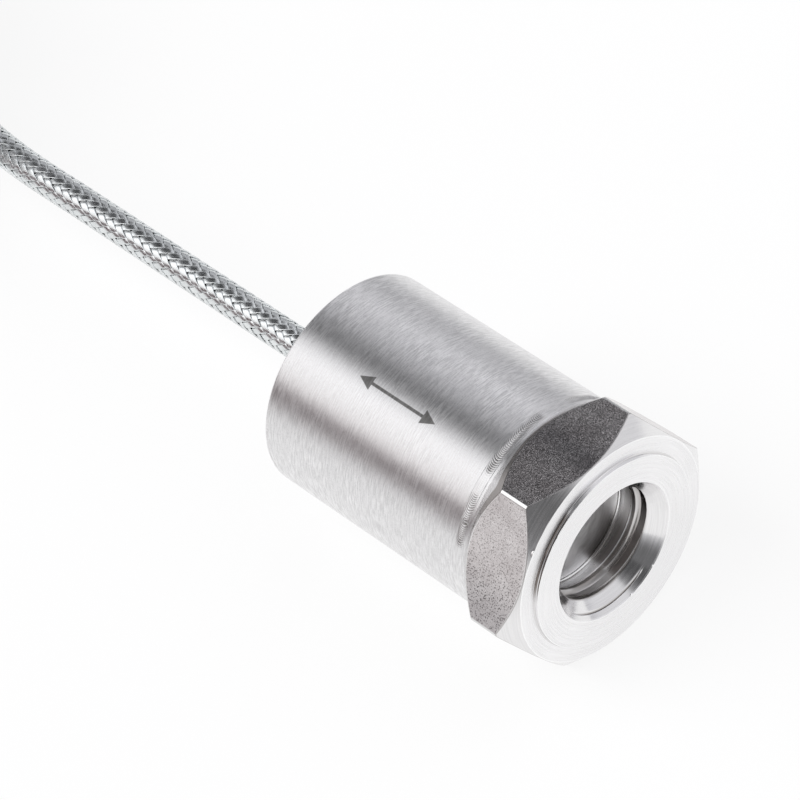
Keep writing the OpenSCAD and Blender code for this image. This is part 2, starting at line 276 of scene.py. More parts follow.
def stretch(vector, x, y, z):
    sizes = addNode(vector.id_data, "ShaderNodeCombineXYZ", {0: x, 1: y, 2: z})[0]
    return addNode(vector.id_data, "ShaderNodeVectorMath", {0: vector, 1: sizes}, operation="MULTIPLY")[0]


def tint(factor, first, second):
    # from the first colour to the second
    given = {k: (*v, 1) if isinstance(v, tuple) else v for k, v in ((6, first), (7, second))}
    return addNode(factor.id_data, "ShaderNodeMix", {0: factor, **given}, data_type="RGBA")[2]


def axesOf(vector):
    return addNode(vector.id_data, "ShaderNodeSeparateXYZ", {0: vector})


def surfaceOf(tree):
    return addNode(tree, "ShaderNodeUVMap", uv_map="surface")[0]


def placeOf(tree):
    return addNode(tree, "ShaderNodeTexCoord")["Object"]


def attributeOf(tree, name):
    return addNode(tree, "ShaderNodeAttribute", attribute_name=name)["Fac"]


def bumpTo(inputs, height, strength, distance):
    given = {"Strength": strength, "Distance": distance, "Height": height}
    give(addNode(height.id_data, "ShaderNodeBump", given)[0], inputs["Normal"])


def tangentTo(tree, inputs):
    give(addNode(tree, "ShaderNodeTangent", direction_type="UV_MAP", uv_map="surface")[0], inputs["Tangent"])


def newFinish(name, metallic=1.0, **fixed):
    # an empty material with a Principled shader; what is the same all over is set on its own sockets
    material = bpy.data.materials.new(name)
    material.use_nodes = True
    tree = material.node_tree
    tree.nodes.clear()
    shader = tree.nodes.new("ShaderNodeBsdfPrincipled")
    addNode(tree, "ShaderNodeOutputMaterial", {0: shader.outputs[0]})
    shader.inputs["Metallic"].default_value = metallic
    for label, value in fixed.items():
        shader.inputs[label.replace("_", " ")].default_value = value
    return material, tree, shader.inputs


# shader groups that several finishes share

def newGroup(name, vector, numbers, outputs):
    group = bpy.data.node_groups.new(name, "ShaderNodeTree")
    sockets = [(vector, "INPUT", "NodeSocketVector")]
    sockets += [(label, "INPUT", "NodeSocketFloat") for label in numbers]
    sockets += [(label, "OUTPUT", "NodeSocketFloat") for label in outputs]
    for label, way, kind in sockets:
        group.interface.new_socket(name=label, in_out=way, socket_type=kind)
    return group, group.nodes.new("NodeGroupInput").outputs, group.nodes.new("NodeGroupOutput").inputs


def useGroup(tree, group, **given):
    return addNode(tree, "ShaderNodeGroup", given, node_tree=group)


def grainGroup():
    # tool lines that run round the work: noise that changes fast along the profile and slowly round it
    group, given, put = newGroup("grainLines", "Surface", ("Fine", "Long"), ("Tone", "Height"))
    fine = noise(stretch(given["Surface"], given["Fine"], given["Long"], 0.0), 1.5, 0.6)
    wide = noise(stretch(given["Surface"], times(given["Fine"], 0.3), given["Long"], 0.0), 2.0, 0.5)
    give(mapRange(shared(fine, wide, 0.8), 0.37, 0.63), put["Tone"])
    give(fine, put["Height"])
    return group


def patinaGroup():
    # soft blotches and small specks in the round, from two sizes of noise
    group, given, put = newGroup("patina", "Place", ("Blotches", "Specks"), ("Blotch", "Speck", "Pit"))
    blotch = noise(stretch(given["Place"], *[given["Blotches"]] * 3), 3.0, 0.55)
    speck = noise(stretch(given["Place"], *[given["Specks"]] * 3), 2.0, 0.7)
    give(mapRange(blotch, 0.3, 0.7), put["Blotch"])
    give(mapRange(speck, 0.56, 0.72), put["Speck"])
    give(mapRange(speck, 0.435, 0.37), put["Pit"])
    return group


def weaveGroup():
    # two families of slanting bands, each showing in its own columns round the cable
    group, given, put = newGroup("ribbonWeave", "Surface", ("Carriers", "Spacing"), ("Height", "Slit"))
    surface = axesOf(given["Surface"])
    along = mathNode("DIVIDE", surface[0], given["Spacing"])
    turn = times(surface[1], given["Carriers"])
    bands = []
    for slant in (plus, minus):
        away = mathNode("ABSOLUTE", minus(mathNode("FRACT", slant(turn, along)), 0.5))
        bands.append(mapRange(away, 0.5, 0.36))
    shown = mapRange(mathNode("COSINE", timesPlus(turn, np.pi, np.pi / 4)), -0.25, 0.25)
    height = addNode(group, "ShaderNodeMix", {0: shown, 2: bands[0], 3: bands[1]})[0]
    give(height, put["Height"])
    give(mapRange(height, 0.45, 0.0), put["Slit"])
    return group


grainLines, patina, ribbonWeave = grainGroup(), patinaGroup(), weaveGroup()
print("shared shader groups made")


# cable: its line, its core tube and its woven ribbons

coilCentre = (-146.0, -18.0)  # mm, shared by the coil, its ties and the free end

cableLine = {
    "route": [  # the same points as the solid's route, in mm, then straight on to the first turn
        (-32.8, 0, 0), (-55, 0, 0), (-64, 0, 0), (-73, 0, 0), (-82, 0, 0), (-90, 0, -0.1), (-96, 0.4, -0.5),
        (-102, 1.4, -1.4), (-107, 3, -2.8), (-112, 5.2, -4.7), (-117, 7.6, -6.8), (-121, 9.4, -8.4),
        (-125, 10.8, -9.6), (-129.98, 11.7, -10.3), (-135, 11.7, -10.4), (-140, 11.7, -10.4),
    ],
    "perSpan": 12,          # steps between two points of the route
    "centre": coilCentre,
    "columns": (29.7, 25.9, 22.1, 18.3),
    "rows": 8,
    "rowStep": 3.8,
    "lowest": -10.4,
    "start": 90.0,          # degrees where the first turn begins
    "slip": 360 / 7,        # how much earlier each layer crosses over
    "shiftOver": 100.0,     # degrees that a turn takes to move to the next column
    "riseFrom": 110.0,      # degrees before the end of a turn where it climbs
    "riseTo": 40.0,
    "tailRadius": 25.9,
    "tailHeight": 20.45,
    "tailShift": (-80.0, 20.0),
    "tailEnd": 132.0,
    "perTurn": 60,
    "sides": 12,
    "diameter": 3.8,
    "exit": (-0.0389, 0, 0),
    "length": 5.0,
}


def splineThrough(points, per):
    # Catmull-Rom curve through the points, each span cut into the same number of steps
    p = np.array(points, float)
    p = np.vstack([2 * p[0] - p[1], p, 2 * p[-1] - p[-2]])
    a, b, c, d = (p[k:len(p) - 3 + k, None] for k in range(4))
    t = (np.arange(per) / per)[None, :, None]
    curve = 0.5 * (2 * b + (c - a) * t + (2 * a - 5 * b + 4 * c - d) * t ** 2 + (3 * b - a - 3 * c + d) * t ** 3)
    return np.vstack([curve.reshape(-1, 3), p[-2]])


def coilLine(line):
    # height and radius are sums of soft steps in the angle: one column per turn, one layer after four turns
    radii, count = np.array(line["columns"]), len(line["columns"])
    turns = count * line["rows"]
    n = np.arange(turns - 1)
    row, inRow = n // count, n % count
    outwardIn = row % 2 == 0
    order = np.where(outwardIn, inRow, count - 1 - inRow)
    last = inRow == count - 1
    ends = line["start"] + 360 * (n + 1) - line["slip"] * row
    begin = np.where(last, ends - line["riseFrom"], ends - line["shiftOver"])
    finish = np.where(last, ends - line["riseTo"], ends)
    nextColumn = np.where(last, order, order + np.where(outwardIn, 1, -1))
    close = line["start"] + 360 * turns - line["slip"] * (line["rows"] - 1)
    top = line["lowest"] + line["rowStep"] * (line["rows"] - 1)
    shiftFrom, shiftTo = line["tailShift"]
    begin = np.append(begin, [close + shiftFrom, close - line["riseFrom"]])
    finish = np.append(finish, [close + shiftTo, close - line["riseTo"]])
    deltaRadius = np.append(radii[nextColumn] - radii[order], [line["tailRadius"] - radii[0], 0])
    deltaHeight = np.append(np.where(last, line["rowStep"], 0.0), [0, line["tailHeight"] - top])
    stop = close + line["tailEnd"] - line["start"]
    angle = np.linspace(line["start"], stop, int((stop - line["start"]) / 360 * line["perTurn"]))
    step = rise(angle[:, None], begin, finish)
    radius = radii[0] + step @ deltaRadius
    a = np.radians(angle)
    x, y = line["centre"]
    return joined(x + radius * np.cos(a), y + radius * np.sin(a), line["lowest"] + step @ deltaHeight)


def framesOf(points):
    # length along the line, and at each point its level side and its upright
    ahead = np.gradient(points, axis=0)
    ahead /= np.linalg.norm(ahead, axis=1, keepdims=True)
    side = np.cross((0, 0, 1), ahead)
    side /= np.linalg.norm(side, axis=1, keepdims=True)
    along = np.concatenate([[0], np.cumsum(np.linalg.norm(np.diff(points, axis=0), axis=1))])
    return {"points": points, "side": side, "up": np.cross(ahead, side), "along": along}


def at(frames, key, where):
    # the line's points or directions at the given lengths along it
    return joined(*(np.interp(where, frames["along"], frames[key][:, k]) for k in range(3)))


def around(frames, where, radius, angle):
    # a point at that radius and angle about the line, at that length along it
    across = np.cos(angle)[..., None] * at(frames, "side", where)
    return at(frames, "points", where) + radius[..., None] * (
        across + np.sin(angle)[..., None] * at(frames, "up", where))


def rodNet(frames, radii, sides, marks=None):
    # circles of changing radius carried along a line, closed by a point at each end
    along = frames["along"]
    where, angle = np.meshgrid(along, ringOf(sides), indexing="ij")
    grid = around(frames, where, np.broadcast_to(np.reshape(radii, (-1, 1)), where.shape), angle)
    uv = joined(along[:, None], np.linspace(0, 1, sides + 1))
    return net(grid, poles=(frames["points"][0], frames["points"][-1]), uv=uv, marks=marks)


cableFrames = framesOf(np.vstack([splineThrough(cableLine["route"], cableLine["perSpan"]), coilLine(cableLine)]))

cableBraid = {
    "carriers": 12,          # ribbons that lie each way
    "spacing": (1.18, 1.5),  # mm between chevrons, at the case and further out
    "spreadsOver": 26.0,     # mm of cable over which they spread
    "cover": 0.9,            # a ribbon's width as a share of the room it has
    "wires": 5,
    "wireRise": 0.01,
    "thick": 0.1,
    "underside": 0.96,       # the underside's width as a share of the top's
    "middle": 1.785,         # radius half way between over and under
    "over": 0.09,
    "square": 1.4,           # how abruptly a ribbon goes from over to under
    "stray": 0.05,           # how far a ribbon wanders, in radians
    "from": 4.6,             # mm along the line, inside the case's end
    "to": 92.0,
    "step": 0.21,
    "sink": 0.25,            # how far the ribbons dive where they stop
    "under": 1.6,            # the tube's radius below the ribbons
}


def cableTube(line, braid, frames):
    # the radius grows to the full one where the ribbons stop
    grow = rise(frames["along"], braid["to"] - 3, braid["to"] - 0.5)
    radius = braid["under"] + (line["diameter"] / 2 - braid["under"]) * grow
    return rodNet(frames, radius, line["sides"], {"cover": np.repeat(grow[:, None], line["sides"], 1)})


def ribbonPhase(braid, along):
    # the turn made by a ribbon is the length divided by a spacing that widens away from the case
    fine, step = np.linspace(0, 110, 2201, retstep=True)
    near, far = braid["spacing"]
    spacing = near + (far - near) * rise(fine, braid["from"], braid["from"] + braid["spreadsOver"])
    turned = np.concatenate([[0], np.cumsum(step / spacing[1:])]) * 2 * np.pi / braid["carriers"]
    return np.interp(along, fine, turned)


def ribbons(braid, frames, way):
    # a flat strip of wires winds round the cable, two over and two under: its height follows a soft square wave
    along = np.arange(braid["from"], braid["to"], braid["step"])
    turned = ribbonPhase(braid, along)
    lean = np.arctan(np.gradient(turned, along) * braid["middle"])[:, None]
    w = np.linspace(-0.5, 0.5, 2 * braid["wires"] + 1)
    rib = np.abs(np.cos(np.pi * braid["wires"] * (w + 0.5) + np.pi / 2)) * braid["wireRise"]
    room = 2 * np.pi * braid["middle"] / braid["carriers"] * np.cos(lean)
    across = np.concatenate([w, w[[-1, 0]] * braid["underside"]]) * room * braid["cover"]
    lift = np.concatenate([rib, [-braid["thick"]] * 2])
    sink = braid["sink"] * rise(along, braid["to"] - 2.5, braid["to"] - 0.1)[:, None]
    strips = []
    for k in range(braid["carriers"]):
        stray = braid["stray"] * np.sin(0.8 * along + 2.4 * k + way) * np.sin(0.31 * along + 1.7 * k)
        middle = (2 * np.pi * k / braid["carriers"] + way * turned + stray)[:, None]
        wave = np.tanh(braid["square"] * np.cos(braid["carriers"] / 2 * middle + np.pi / 4))
        radius = braid["middle"] + wave / np.tanh(braid["square"]) * braid["over"] * way + lift - sink
        where = along[:, None] - way * np.sin(lean) * across
        grid = around(frames, where, radius, middle + np.cos(lean) * across / braid["middle"])
        uv = joined(along[:, None] / np.cos(lean), np.linspace(0, 1, across.shape[1] + 1) + k)
        strips.append(net(grid, poles=(grid[0].mean(0), grid[-1].mean(0)), uv=uv))
    return strips


def ribbonFinish():
    # bright drawn wire: fine lines along the ribbon and a slight change of tone from ribbon to ribbon
    material, tree, inputs = newFinish("ribbonSteel")
    grain = useGroup(tree, grainLines, Surface=surfaceOf(tree), Fine=0.6, Long=26.0)
    old = useGroup(tree, patina, Place=placeOf(tree), Blotches=420.0, Specks=4000.0)
    tone = shared(old["Blotch"], grain["Tone"], 0.5)
    give(tint(tone, (0.67, 0.695, 0.7), (0.86, 0.885, 0.89)), inputs["Base Color"])
    give(mapRange(grain["Tone"], 0.0, 1.0, 0.19, 0.28), inputs["Roughness"])
    bumpTo(inputs, grain["Height"], 0.25, 0.00002)
    return material


def tubeFinish():
    # the same braid drawn on the tube by its own weave, with painted shade in its slits; painted near black where
    # the real ribbons cover it, as shade between the ribbons
    material, tree, inputs = newFinish("tubeBraid")
    weave = useGroup(tree, ribbonWeave, Surface=surfaceOf(tree), Carriers=12.0, Spacing=1.5)
    grain = useGroup(tree, grainLines, Surface=surfaceOf(tree), Fine=2.0, Long=30.0)
    shown = tint(grain["Tone"], (0.56, 0.55, 0.56), (0.80, 0.79, 0.79))
    # the dark slits between the drawn ribbons are painted shade
    slit = tint(weave["Slit"], shown, (0.10, 0.10, 0.105))
    # under the real ribbons the tube is painted near black: painted shade between the ribbons
    give(tint(attributeOf(tree, "cover"), (0.05, 0.05, 0.052), slit), inputs["Base Color"])
    give(mapRange(weave["Height"], 0.0, 1.0, 0.55, 0.25), inputs["Roughness"])
    bumpTo(inputs, weave["Height"], 0.9, 0.00012)
    return material


ribbonSteel, tubeBraid = ribbonFinish(), tubeFinish()
cable = makePiece("cableCord", [cableTube(cableLine, cableBraid, cableFrames)], [tubeBraid])
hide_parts("cable_run", "cable_coil")
braidRight = makePiece("braidRight", ribbons(cableBraid, cableFrames, 1), [ribbonSteel])
braidLeft = makePiece("braidLeft", ribbons(cableBraid, cableFrames, -1), [ribbonSteel])
print("cable line", round(cableFrames["along"][-1]), "mm")
onCable = [braidRight, braidLeft]


# case

weldSeam = {"at": 10.0, "half": 0.6, "depth": 0.6, "radius": 12.5}  # groove between case and base

caseShape = {
    "cavity": 10.9, "cutFrom": 20.0, "cutTo": 20.5,  # where the closed section begins and ends
    "end": 38.9, "seat": 36.5, "edge": 0.3, "hole": 1.95, "holeEdge": 0.3, "columns": 224,
    "rounds": (0, 0.05, 0.02, 0.006, 0.12, 0.12, 0.08, 0.08, 0.05, 0.2, 0),
    "arrowAngle": 112.0, "arrowFrom": 18.5, "arrowTo": 29.5, "arrowShaft": 0.17,
    "arrowHead": 1.8, "arrowWide": 0.8, "arrowSoft": 0.04,
}


def caseNet(s, seam):
    # the can's section, with soft corners, turned about the axis
    angles = ringOf(s["columns"]) - np.pi / 2
    start, radius, end = seam["at"], seam["radius"], s["end"]
    corners = [
        (s["cutFrom"], s["cavity"]), (start, s["cavity"]), (start, radius - seam["depth"]),
        (start + seam["half"], radius), (end - s["edge"], radius), (end, radius - s["edge"]),
        (end, s["hole"] + s["holeEdge"]), (end - s["holeEdge"], s["hole"]), (s["seat"], s["hole"]),
        (s["seat"], s["cavity"]), (s["cutTo"], s["cavity"]),
    ]
    few = (0.5,)
    long = (0.0006, *np.linspace(0.004, 0.996, 40))
    cuts = [few, few, few, long, few, (0.02, 0.2, 0.4, 0.6, 0.8, 0.98), few, few, few, few]
    profile, _ = roundedChain(corners, s["rounds"], cuts, s["columns"])
    grid = lathe(profile, angles)
    uv = surfaceUv(np.concatenate([grid, grid[:1]]), angles, 2 * np.pi * radius)
    return net(grid, closeRows=True, uv=uv)


def arrowMask(tree, s, radius):
    # a plain two-headed arrow along the axis: the sensing direction, as a shaft and two tapering heads
    x, y, z = axesOf(placeOf(tree))
    off = minus(mathNode("ARCTAN2", z, y), np.radians(s["arrowAngle"]))
    wide = times(mathNode("ABSOLUTE", off), radius)
    middle = (s["arrowFrom"] + s["arrowTo"]) / 2
    half = (s["arrowTo"] - s["arrowFrom"]) / 2
    toTip = minus(half, mathNode("ABSOLUTE", minus(times(x, -1 / mm), middle)))
    inHead = mathNode("LESS_THAN", toTip, s["arrowHead"])
    head = times(inHead, times(toTip, s["arrowWide"] / s["arrowHead"]))
    limit = plus(head, times(minus(1.0, inHead), s["arrowShaft"]))
    return mapRange(minus(limit, wide), -s["arrowSoft"], s["arrowSoft"])


def caseFinish(s, seam):
    # satin turned steel with an etched arrow: lines whose strength changes in blotches, and a fine grit;
    # light spreads along the axis because the lines run round
    material, tree, inputs = newFinish("brushedCase", Anisotropic=0.88)
    grain = useGroup(tree, grainLines, Surface=surfaceOf(tree), Fine=6.0, Long=0.6)
    old = useGroup(tree, patina, Place=placeOf(tree), Blotches=240.0, Specks=5600.0)
    strength = timesPlus(old["Blotch"], 0.5, 0.35)
    lines = timesPlus(minus(grain["Tone"], 0.5), strength, 0.5)
    tone = timesPlus(minus(old["Speck"], old["Pit"]), 0.3, lines)
    plain = tint(tone, (0.67, 0.665, 0.67), (0.98, 0.975, 0.98))
    etched = arrowMask(tree, s, seam["radius"])
    mark = times(etched, mapRange(grain["Tone"], 0.0, 1.0, 0.95, 0.8))
    give(tint(mark, plain, (0.2, 0.195, 0.19)), inputs["Base Color"])
    give(timesPlus(etched, 0.12, mapRange(tone, 0.0, 1.0, 0.4, 0.5)), inputs["Roughness"])
    bumpTo(inputs, grain["Height"], 0.18, 0.00003)
    tangentTo(tree, inputs)
    return material


brushedCase = caseFinish(caseShape, weldSeam)
case = makePiece("outerCase", [caseNet(caseShape, weldSeam)], [brushedCase])
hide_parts("outer_case")


# mounting base

baseShape = {
    "apothem": 13.1, "corner": 15.026, "hexEnd": 9.1, "hub": 2.0, "spigot": 10.88, "spigotEnd": 12.3,
    "frontAngle": 47.0, "rearAngle": 39.0, "shoulder": 13.0, "edge": 0.04,
    "ring": 11.1, "ringHeight": 0.5, "foot": 0.15,
    "mouth": 8.05, "crest": 6.45, "threadFrom": 1.9, "relief": 7.05, "floorAt": 6.1, "floorRound": 0.38,
    "coneAt": 0.12, "boreFrom": 0.15, "boreTo": 5.15, "boreRows": 134,
    "wallTo": 5.5, "floorGap": 0.1, "floorEye": 0.3, "floorRings": 44,
    "roundMm": 80.0,          # length that the finish takes for one turn
    # thread: one groove that begins at startAngle and sinks by the pitch in one turn towards -Z
    "startAngle": 60.0, "grooveFrom": 1.38, "pitch": 2.1, "land": 0.52, "flank": 0.5, "undercut": 0.2,
    "root": 6.95, "fadeIn": 40.0, "reliefStep": (4.4, 4.5),
    "lip": 0.12, "lipWide": 0.17, "lipEnd": 0.06, "lipFade": 0.2,
    "scoreAt": 0.68, "scoreDeep": 0.13, "scoreWide": 0.075,  # tool score in the countersink
    "mouthBurrs": [(-57.0, 0.24), (-84.0, 0.2)], "shoulderBurrs": [(136.0, 0.16)],  # degrees and size
    "burrWide": 0.55,
    # degrees from a corner and from a burr where columns stand
    "cornerSteps": (0, 0.3, 0.6, 0.75, 0.95, 1.3, 2.2, 4, 6, 8.5, 11, 13.5, 16, 18.5, 21, 23.5, 26, 28),
    "burrSteps": (-1.5, -0.9, -0.5, -0.2, 0.1, 0.4, 0.8, 1.4),
    # stretches in degrees: where each starts, is full, wanes and ends
    # footShade: painted shade in the corner at the ring's foot
    "footShade": (112, 115, 154, 168),    # dark corner at the ring's foot
    # wedgeReflection: painted dark reflection on the rear cone and its edge
    "wedgeReflection": (60, 80, 127, 143),      # dark part of the rear cone
    # darkReflection: painted dark reflection in the bore
    "darkReflection": (-82, -77, -47, -22),     # in the bore
    # shadeSwap: in the bore, painted shade heavier on the land and lighter in the groove
    "shadeSwap": (-126, -118, -85, -80),  # in the bore
    "score": (-150, -126, -76, -56),
}

# numbers that roundedChain gives to the base's straight runs and, below zero, to its corners
partOf = {
    "collarEdge": -5, "collar": 4, "collarFoot": -6, "rearCone": 5, "rearEdge": -7, "flat": 6, "frontEdge": -8,
    "frontCone": 7, "shoulderEdge": -9, "ringFoot": -10, "ringWall": 9, "ringEdge": -11, "mouthEdge": -12,
    "inside": 99,
}


def hexColumns(s):
    # angles that crowd together at the six corners and at the burrs
    half = np.array(s["cornerSteps"])
    side = np.concatenate([half, [30], 60 - half[:0:-1]])
    even = (np.arange(6)[:, None] * 60 + side).ravel()
    extra = [degrees % 360 + np.array(s["burrSteps"]) for degrees, _ in s["mouthBurrs"] + s["shoulderBurrs"]]
    return np.radians(np.unique(np.round(np.concatenate([even, *extra]), 2)))


def burrRise(s, burrs, degrees):
    # narrow bell curves at the given angles
    return sum(size * bell(halfTurn(degrees - middle), 0, s["burrWide"]) for middle, size in burrs)


def lipRise(s, past):
    # a straight rise up to the edge and a short fall beyond it
    return np.clip(1 + past / s["lipWide"], 0, 1) * smooth(1 - past / s["lipEnd"])


def coneRadius(s, depth):
    # the countersink narrows evenly from the mouth to the thread's crest
    return s["mouth"] + (s["crest"] - s["mouth"]) / s["threadFrom"] * depth


def boreRadius(s, depth, degrees):
    # the countersink's cone or the threaded wall, whichever is wider; the groove has a steep upper and a gentle
    # lower flank, thin lips stand at its edges, and below the thread the wall steps back to the relief
    cone = np.maximum(coneRadius(s, depth), s["crest"])
    turned = np.mod(s["startAngle"] - degrees, 360)
    below = depth - s["grooveFrom"] - s["pitch"] * turned / 360
    first = smooth(below / s["undercut"]) * smooth((s["pitch"] - s["land"] - below) / s["flank"])
    groove = np.maximum(first * smooth(turned / s["fadeIn"]), smooth((below - s["pitch"]) / s["undercut"]))
    past = rise(depth, *s["reliefStep"])
    landEnd = np.minimum(depth - below + s["pitch"], s["reliefStep"][0])
    lips = lipRise(s, depth - landEnd)
    lips = np.maximum(lips, lipRise(s, below) * smooth((depth - s["threadFrom"]) / s["lipFade"]))
    wall = s["crest"] + (s["root"] - s["crest"]) * groove
    wall = wall + (s["relief"] - wall) * past - s["lip"] * lips
    score = span(halfTurn(degrees), *s["score"]) * bell(depth, s["scoreAt"], s["scoreWide"])
    return np.maximum(cone + s["scoreDeep"] * score, wall), groove, past, lips, score


def outerProfile(s, seam, angles, flat):
    # from the spigot to the mouth; both cones reach as far as the hexagon does at each angle
    front = s["ringHeight"] + (flat - s["shoulder"]) / np.tan(np.radians(s["frontAngle"]))
    rear = s["hexEnd"] - (flat - seam["radius"]) / np.tan(np.radians(s["rearAngle"]))
    uneven = 1 + 0.25 * np.sin(11 * angles + 0.6) * np.sin(29 * angles) + 0.2 * np.sin(47 * angles + 1.1)
    edge = s["edge"] * uneven
    groove, radius = seam["at"], seam["radius"]
    corners = [
        (s["spigotEnd"], s["hub"]), (s["spigotEnd"], s["spigot"]), (groove, s["spigot"]),
        (groove, radius - seam["depth"]), (groove - seam["half"], radius), (s["hexEnd"], radius),
        (rear, flat), (front, flat), (s["ringHeight"], s["shoulder"]), (s["ringHeight"], s["ring"]),
        (0.0, s["ring"]), (0.0, s["mouth"]), (s["coneAt"], coneRadius(s, s["coneAt"])),
    ]
    setbacks = [0, 0.2, 0.05, 0.05, 0.006, 0.008, edge, edge, 1.4 * edge, s["foot"], 1.3 * edge, 0.8 * edge, 0]
    few, near = (0.5,), (0.02, 0.5, 0.98)
    many = (0.015, 0.1, 0.25, 0.4, 0.55, 0.7, 0.85, 0.95, 0.985)
    chamfer = (0.02, 0.25, 0.5, 0.54, 0.75, 0.98)
    wall = (0.02, 0.3, 0.42, 0.55, 0.98)
    cuts = [few, few, few, few, near, chamfer, many, near, many, wall, many, few]
    outer, runs = roundedChain(corners, setbacks, cuts, len(angles))
    degrees = np.degrees(angles)
    outer[runs == partOf["mouthEdge"], :, 1] -= burrRise(s, s["mouthBurrs"], degrees)
    outer[runs == partOf["shoulderEdge"], :, 1] += burrRise(s, s["shoulderBurrs"], degrees)
    return outer, runs


def rowsOf(*values):
    # one value for each row of a part, the same all round
    return np.array(values)[:, None]


def outerMarks(s, runs, degrees, fold):
    # painted highlights on edges, dark stretches and polish, part by part of the profile; the dark stretches are
    # painted shade and painted dark reflections, except on the flats; on the flats polish is the pepper's
    # strength
    footShade, wedgeReflection = span(degrees, *s["footShade"]), span(degrees, *s["wedgeReflection"])
    paintedHighlights = {
        # painted highlight along the hex corners and on the broken edges of the shoulder, ring and mouth
        "flat": rise(np.degrees(np.pi / 6 - fold), 0.9, 0.65),
        "shoulderEdge": 1.0, "ringEdge": 1.0, "mouthEdge": 1.0,
    }
    dark = {
        # on the flats only a darker tone: across the middle of the top flat and from 150 to 190 degrees
        "flat": 0.3 * rise(degrees, 150, 176) * (degrees < 190) + 0.44 * bell(degrees, 88, 9),
        # painted shade on the ring's wall and in the corner at its foot
        "ringWall": rowsOf(0.5, 0.1, 0.25, 0.95, 0.95) * footShade,
        "ringFoot": 0.2 + 0.7 * footShade,
        # painted dark reflection on the rear cone and its edge
        "rearCone": 0.15 + rowsOf(0, 0, 0.05, 0.65, 0.65, 0.65) * wedgeReflection,
        "rearEdge": 0.3 + 0.5 * wedgeReflection,
        # painted dark reflections on the front cone and its edge; painted shade in the crease at the collar's
        # foot
        "frontCone": 0.1 + 0.25 * bell(degrees, 150, 12) + 0.12 * bell(degrees, 118, 12),
        "frontEdge": 0.5, "collarFoot": 0.15,
    }
    polish = {
        "flat": 0.06 + 0.44 * rise(degrees, 118, 122) + 0.5 * rise(degrees, 135, 170),
        "rearCone": rowsOf(0.2, 0.2, 0.2, 1.0, 1.0, 1.0),
        "collarFoot": 1.0, "ringFoot": 1.0, "ringWall": 1.35, "frontCone": 0.6,
    }
    marks = np.zeros((3, len(runs), len(degrees)))
    for rows, parts in zip(marks, (paintedHighlights, dark, polish)):
        for part, value in parts.items():
            rows[runs == partOf[part]] = value
    return marks


def boreMarks(s, depth, away, groove, past, lips, score):
    # painted shade makes the thread darker than the countersink, a painted dark reflection darkens one side and a
    # painted change of shade lies beside that; the lips carry a painted highlight
    down = rise(depth, s["threadFrom"] - 0.25, s["threadFrom"] + 0.05)
    darkReflection, shadeSwap = span(away, *s["darkReflection"]), span(away, *s["shadeSwap"])
    # painted shade inside the thread, in the groove and on the land, heavier under the painted dark reflection
    thread = 0.25 + 0.35 * groove + 0.35 * rise(groove, 0.15, 0) + 0.22 * darkReflection
    # over the shadeSwap stretch the painted shade is heavier on the land and lighter in the groove
    thread = thread + (0.75 - 0.45 * groove - thread) * shadeSwap
    # painted shade on the relief, heavier under the painted dark reflection and lighter below about -80 degrees
    relieved = 0.3 + 0.45 * darkReflection - 0.2 * rise(away, -78, -83)
    # painted highlight on the thread's lips
    onLip = rise(lips, 0, 0.2) * down
    dark = np.maximum(0.08, down * (thread + (relieved - thread) * past)) * (1 - onLip)
    dull = rise(away, -78, -86) * down * (1 - onLip)
    # a painted shade darkens the tool score
    return np.stack([onLip, np.maximum(dark, 0.85 * score), 0.75 + 0.1 * down - 1.4 * dull])


def endMarks(s, away, rings, bends):
    # the wall's end, a painted highlight on the fillet, and the floor with faint turned rings that fade out on
    # one side, partly painted shade, and a painted dark reflection towards its rim
    ringAt = np.concatenate([np.full(1 + bends, s["relief"]), rings])[:, None]
    darkReflection = span(away, *s["darkReflection"])
    grooves = 0.5 + 0.5 * np.sin(8.7 * ringAt) * np.sin(3.9 * ringAt + 1)
    # turned rings darkened only where away is above about -85 degrees, partly real and partly painted shade;
    # painted dark reflection towards the rim
    dark = 0.14 * grooves * rise(away, -95, -75) + 0.55 * darkReflection * rise(ringAt, 4.6, 7.0)
    paintedHighlights, polish = np.zeros_like(dark), np.full_like(dark, -0.2)
    # painted highlight on the fillet, weaker under the painted dark reflection
    paintedHighlights[1:1 + bends], polish[1:1 + bends] = 1 - 0.8 * darkReflection, 0.8
    return np.stack([paintedHighlights, dark, polish])


def coneUv(s, seam, uv, where, radius):
    # on both cones the first coordinate follows the radius, so that the tool lines stay concentric
    out = np.concatenate([radius, radius[:, :1]], 1)
    on = {part: where == number for part, number in partOf.items()}
    front, rear = on["frontCone"] | on["frontEdge"], on["rearCone"] | on["rearEdge"]
    frontFoot, rearFoot = uv[on["shoulderEdge"]][0, 0, 0], uv[on["collarFoot"]][-1, 0, 0]
    uv[front, :, 0] = frontFoot - (out[front] - s["shoulder"]) / np.sin(np.radians(s["frontAngle"]))
    uv[rear, :, 0] = rearFoot + (out[rear] - seam["radius"]) / np.sin(np.radians(s["rearAngle"]))


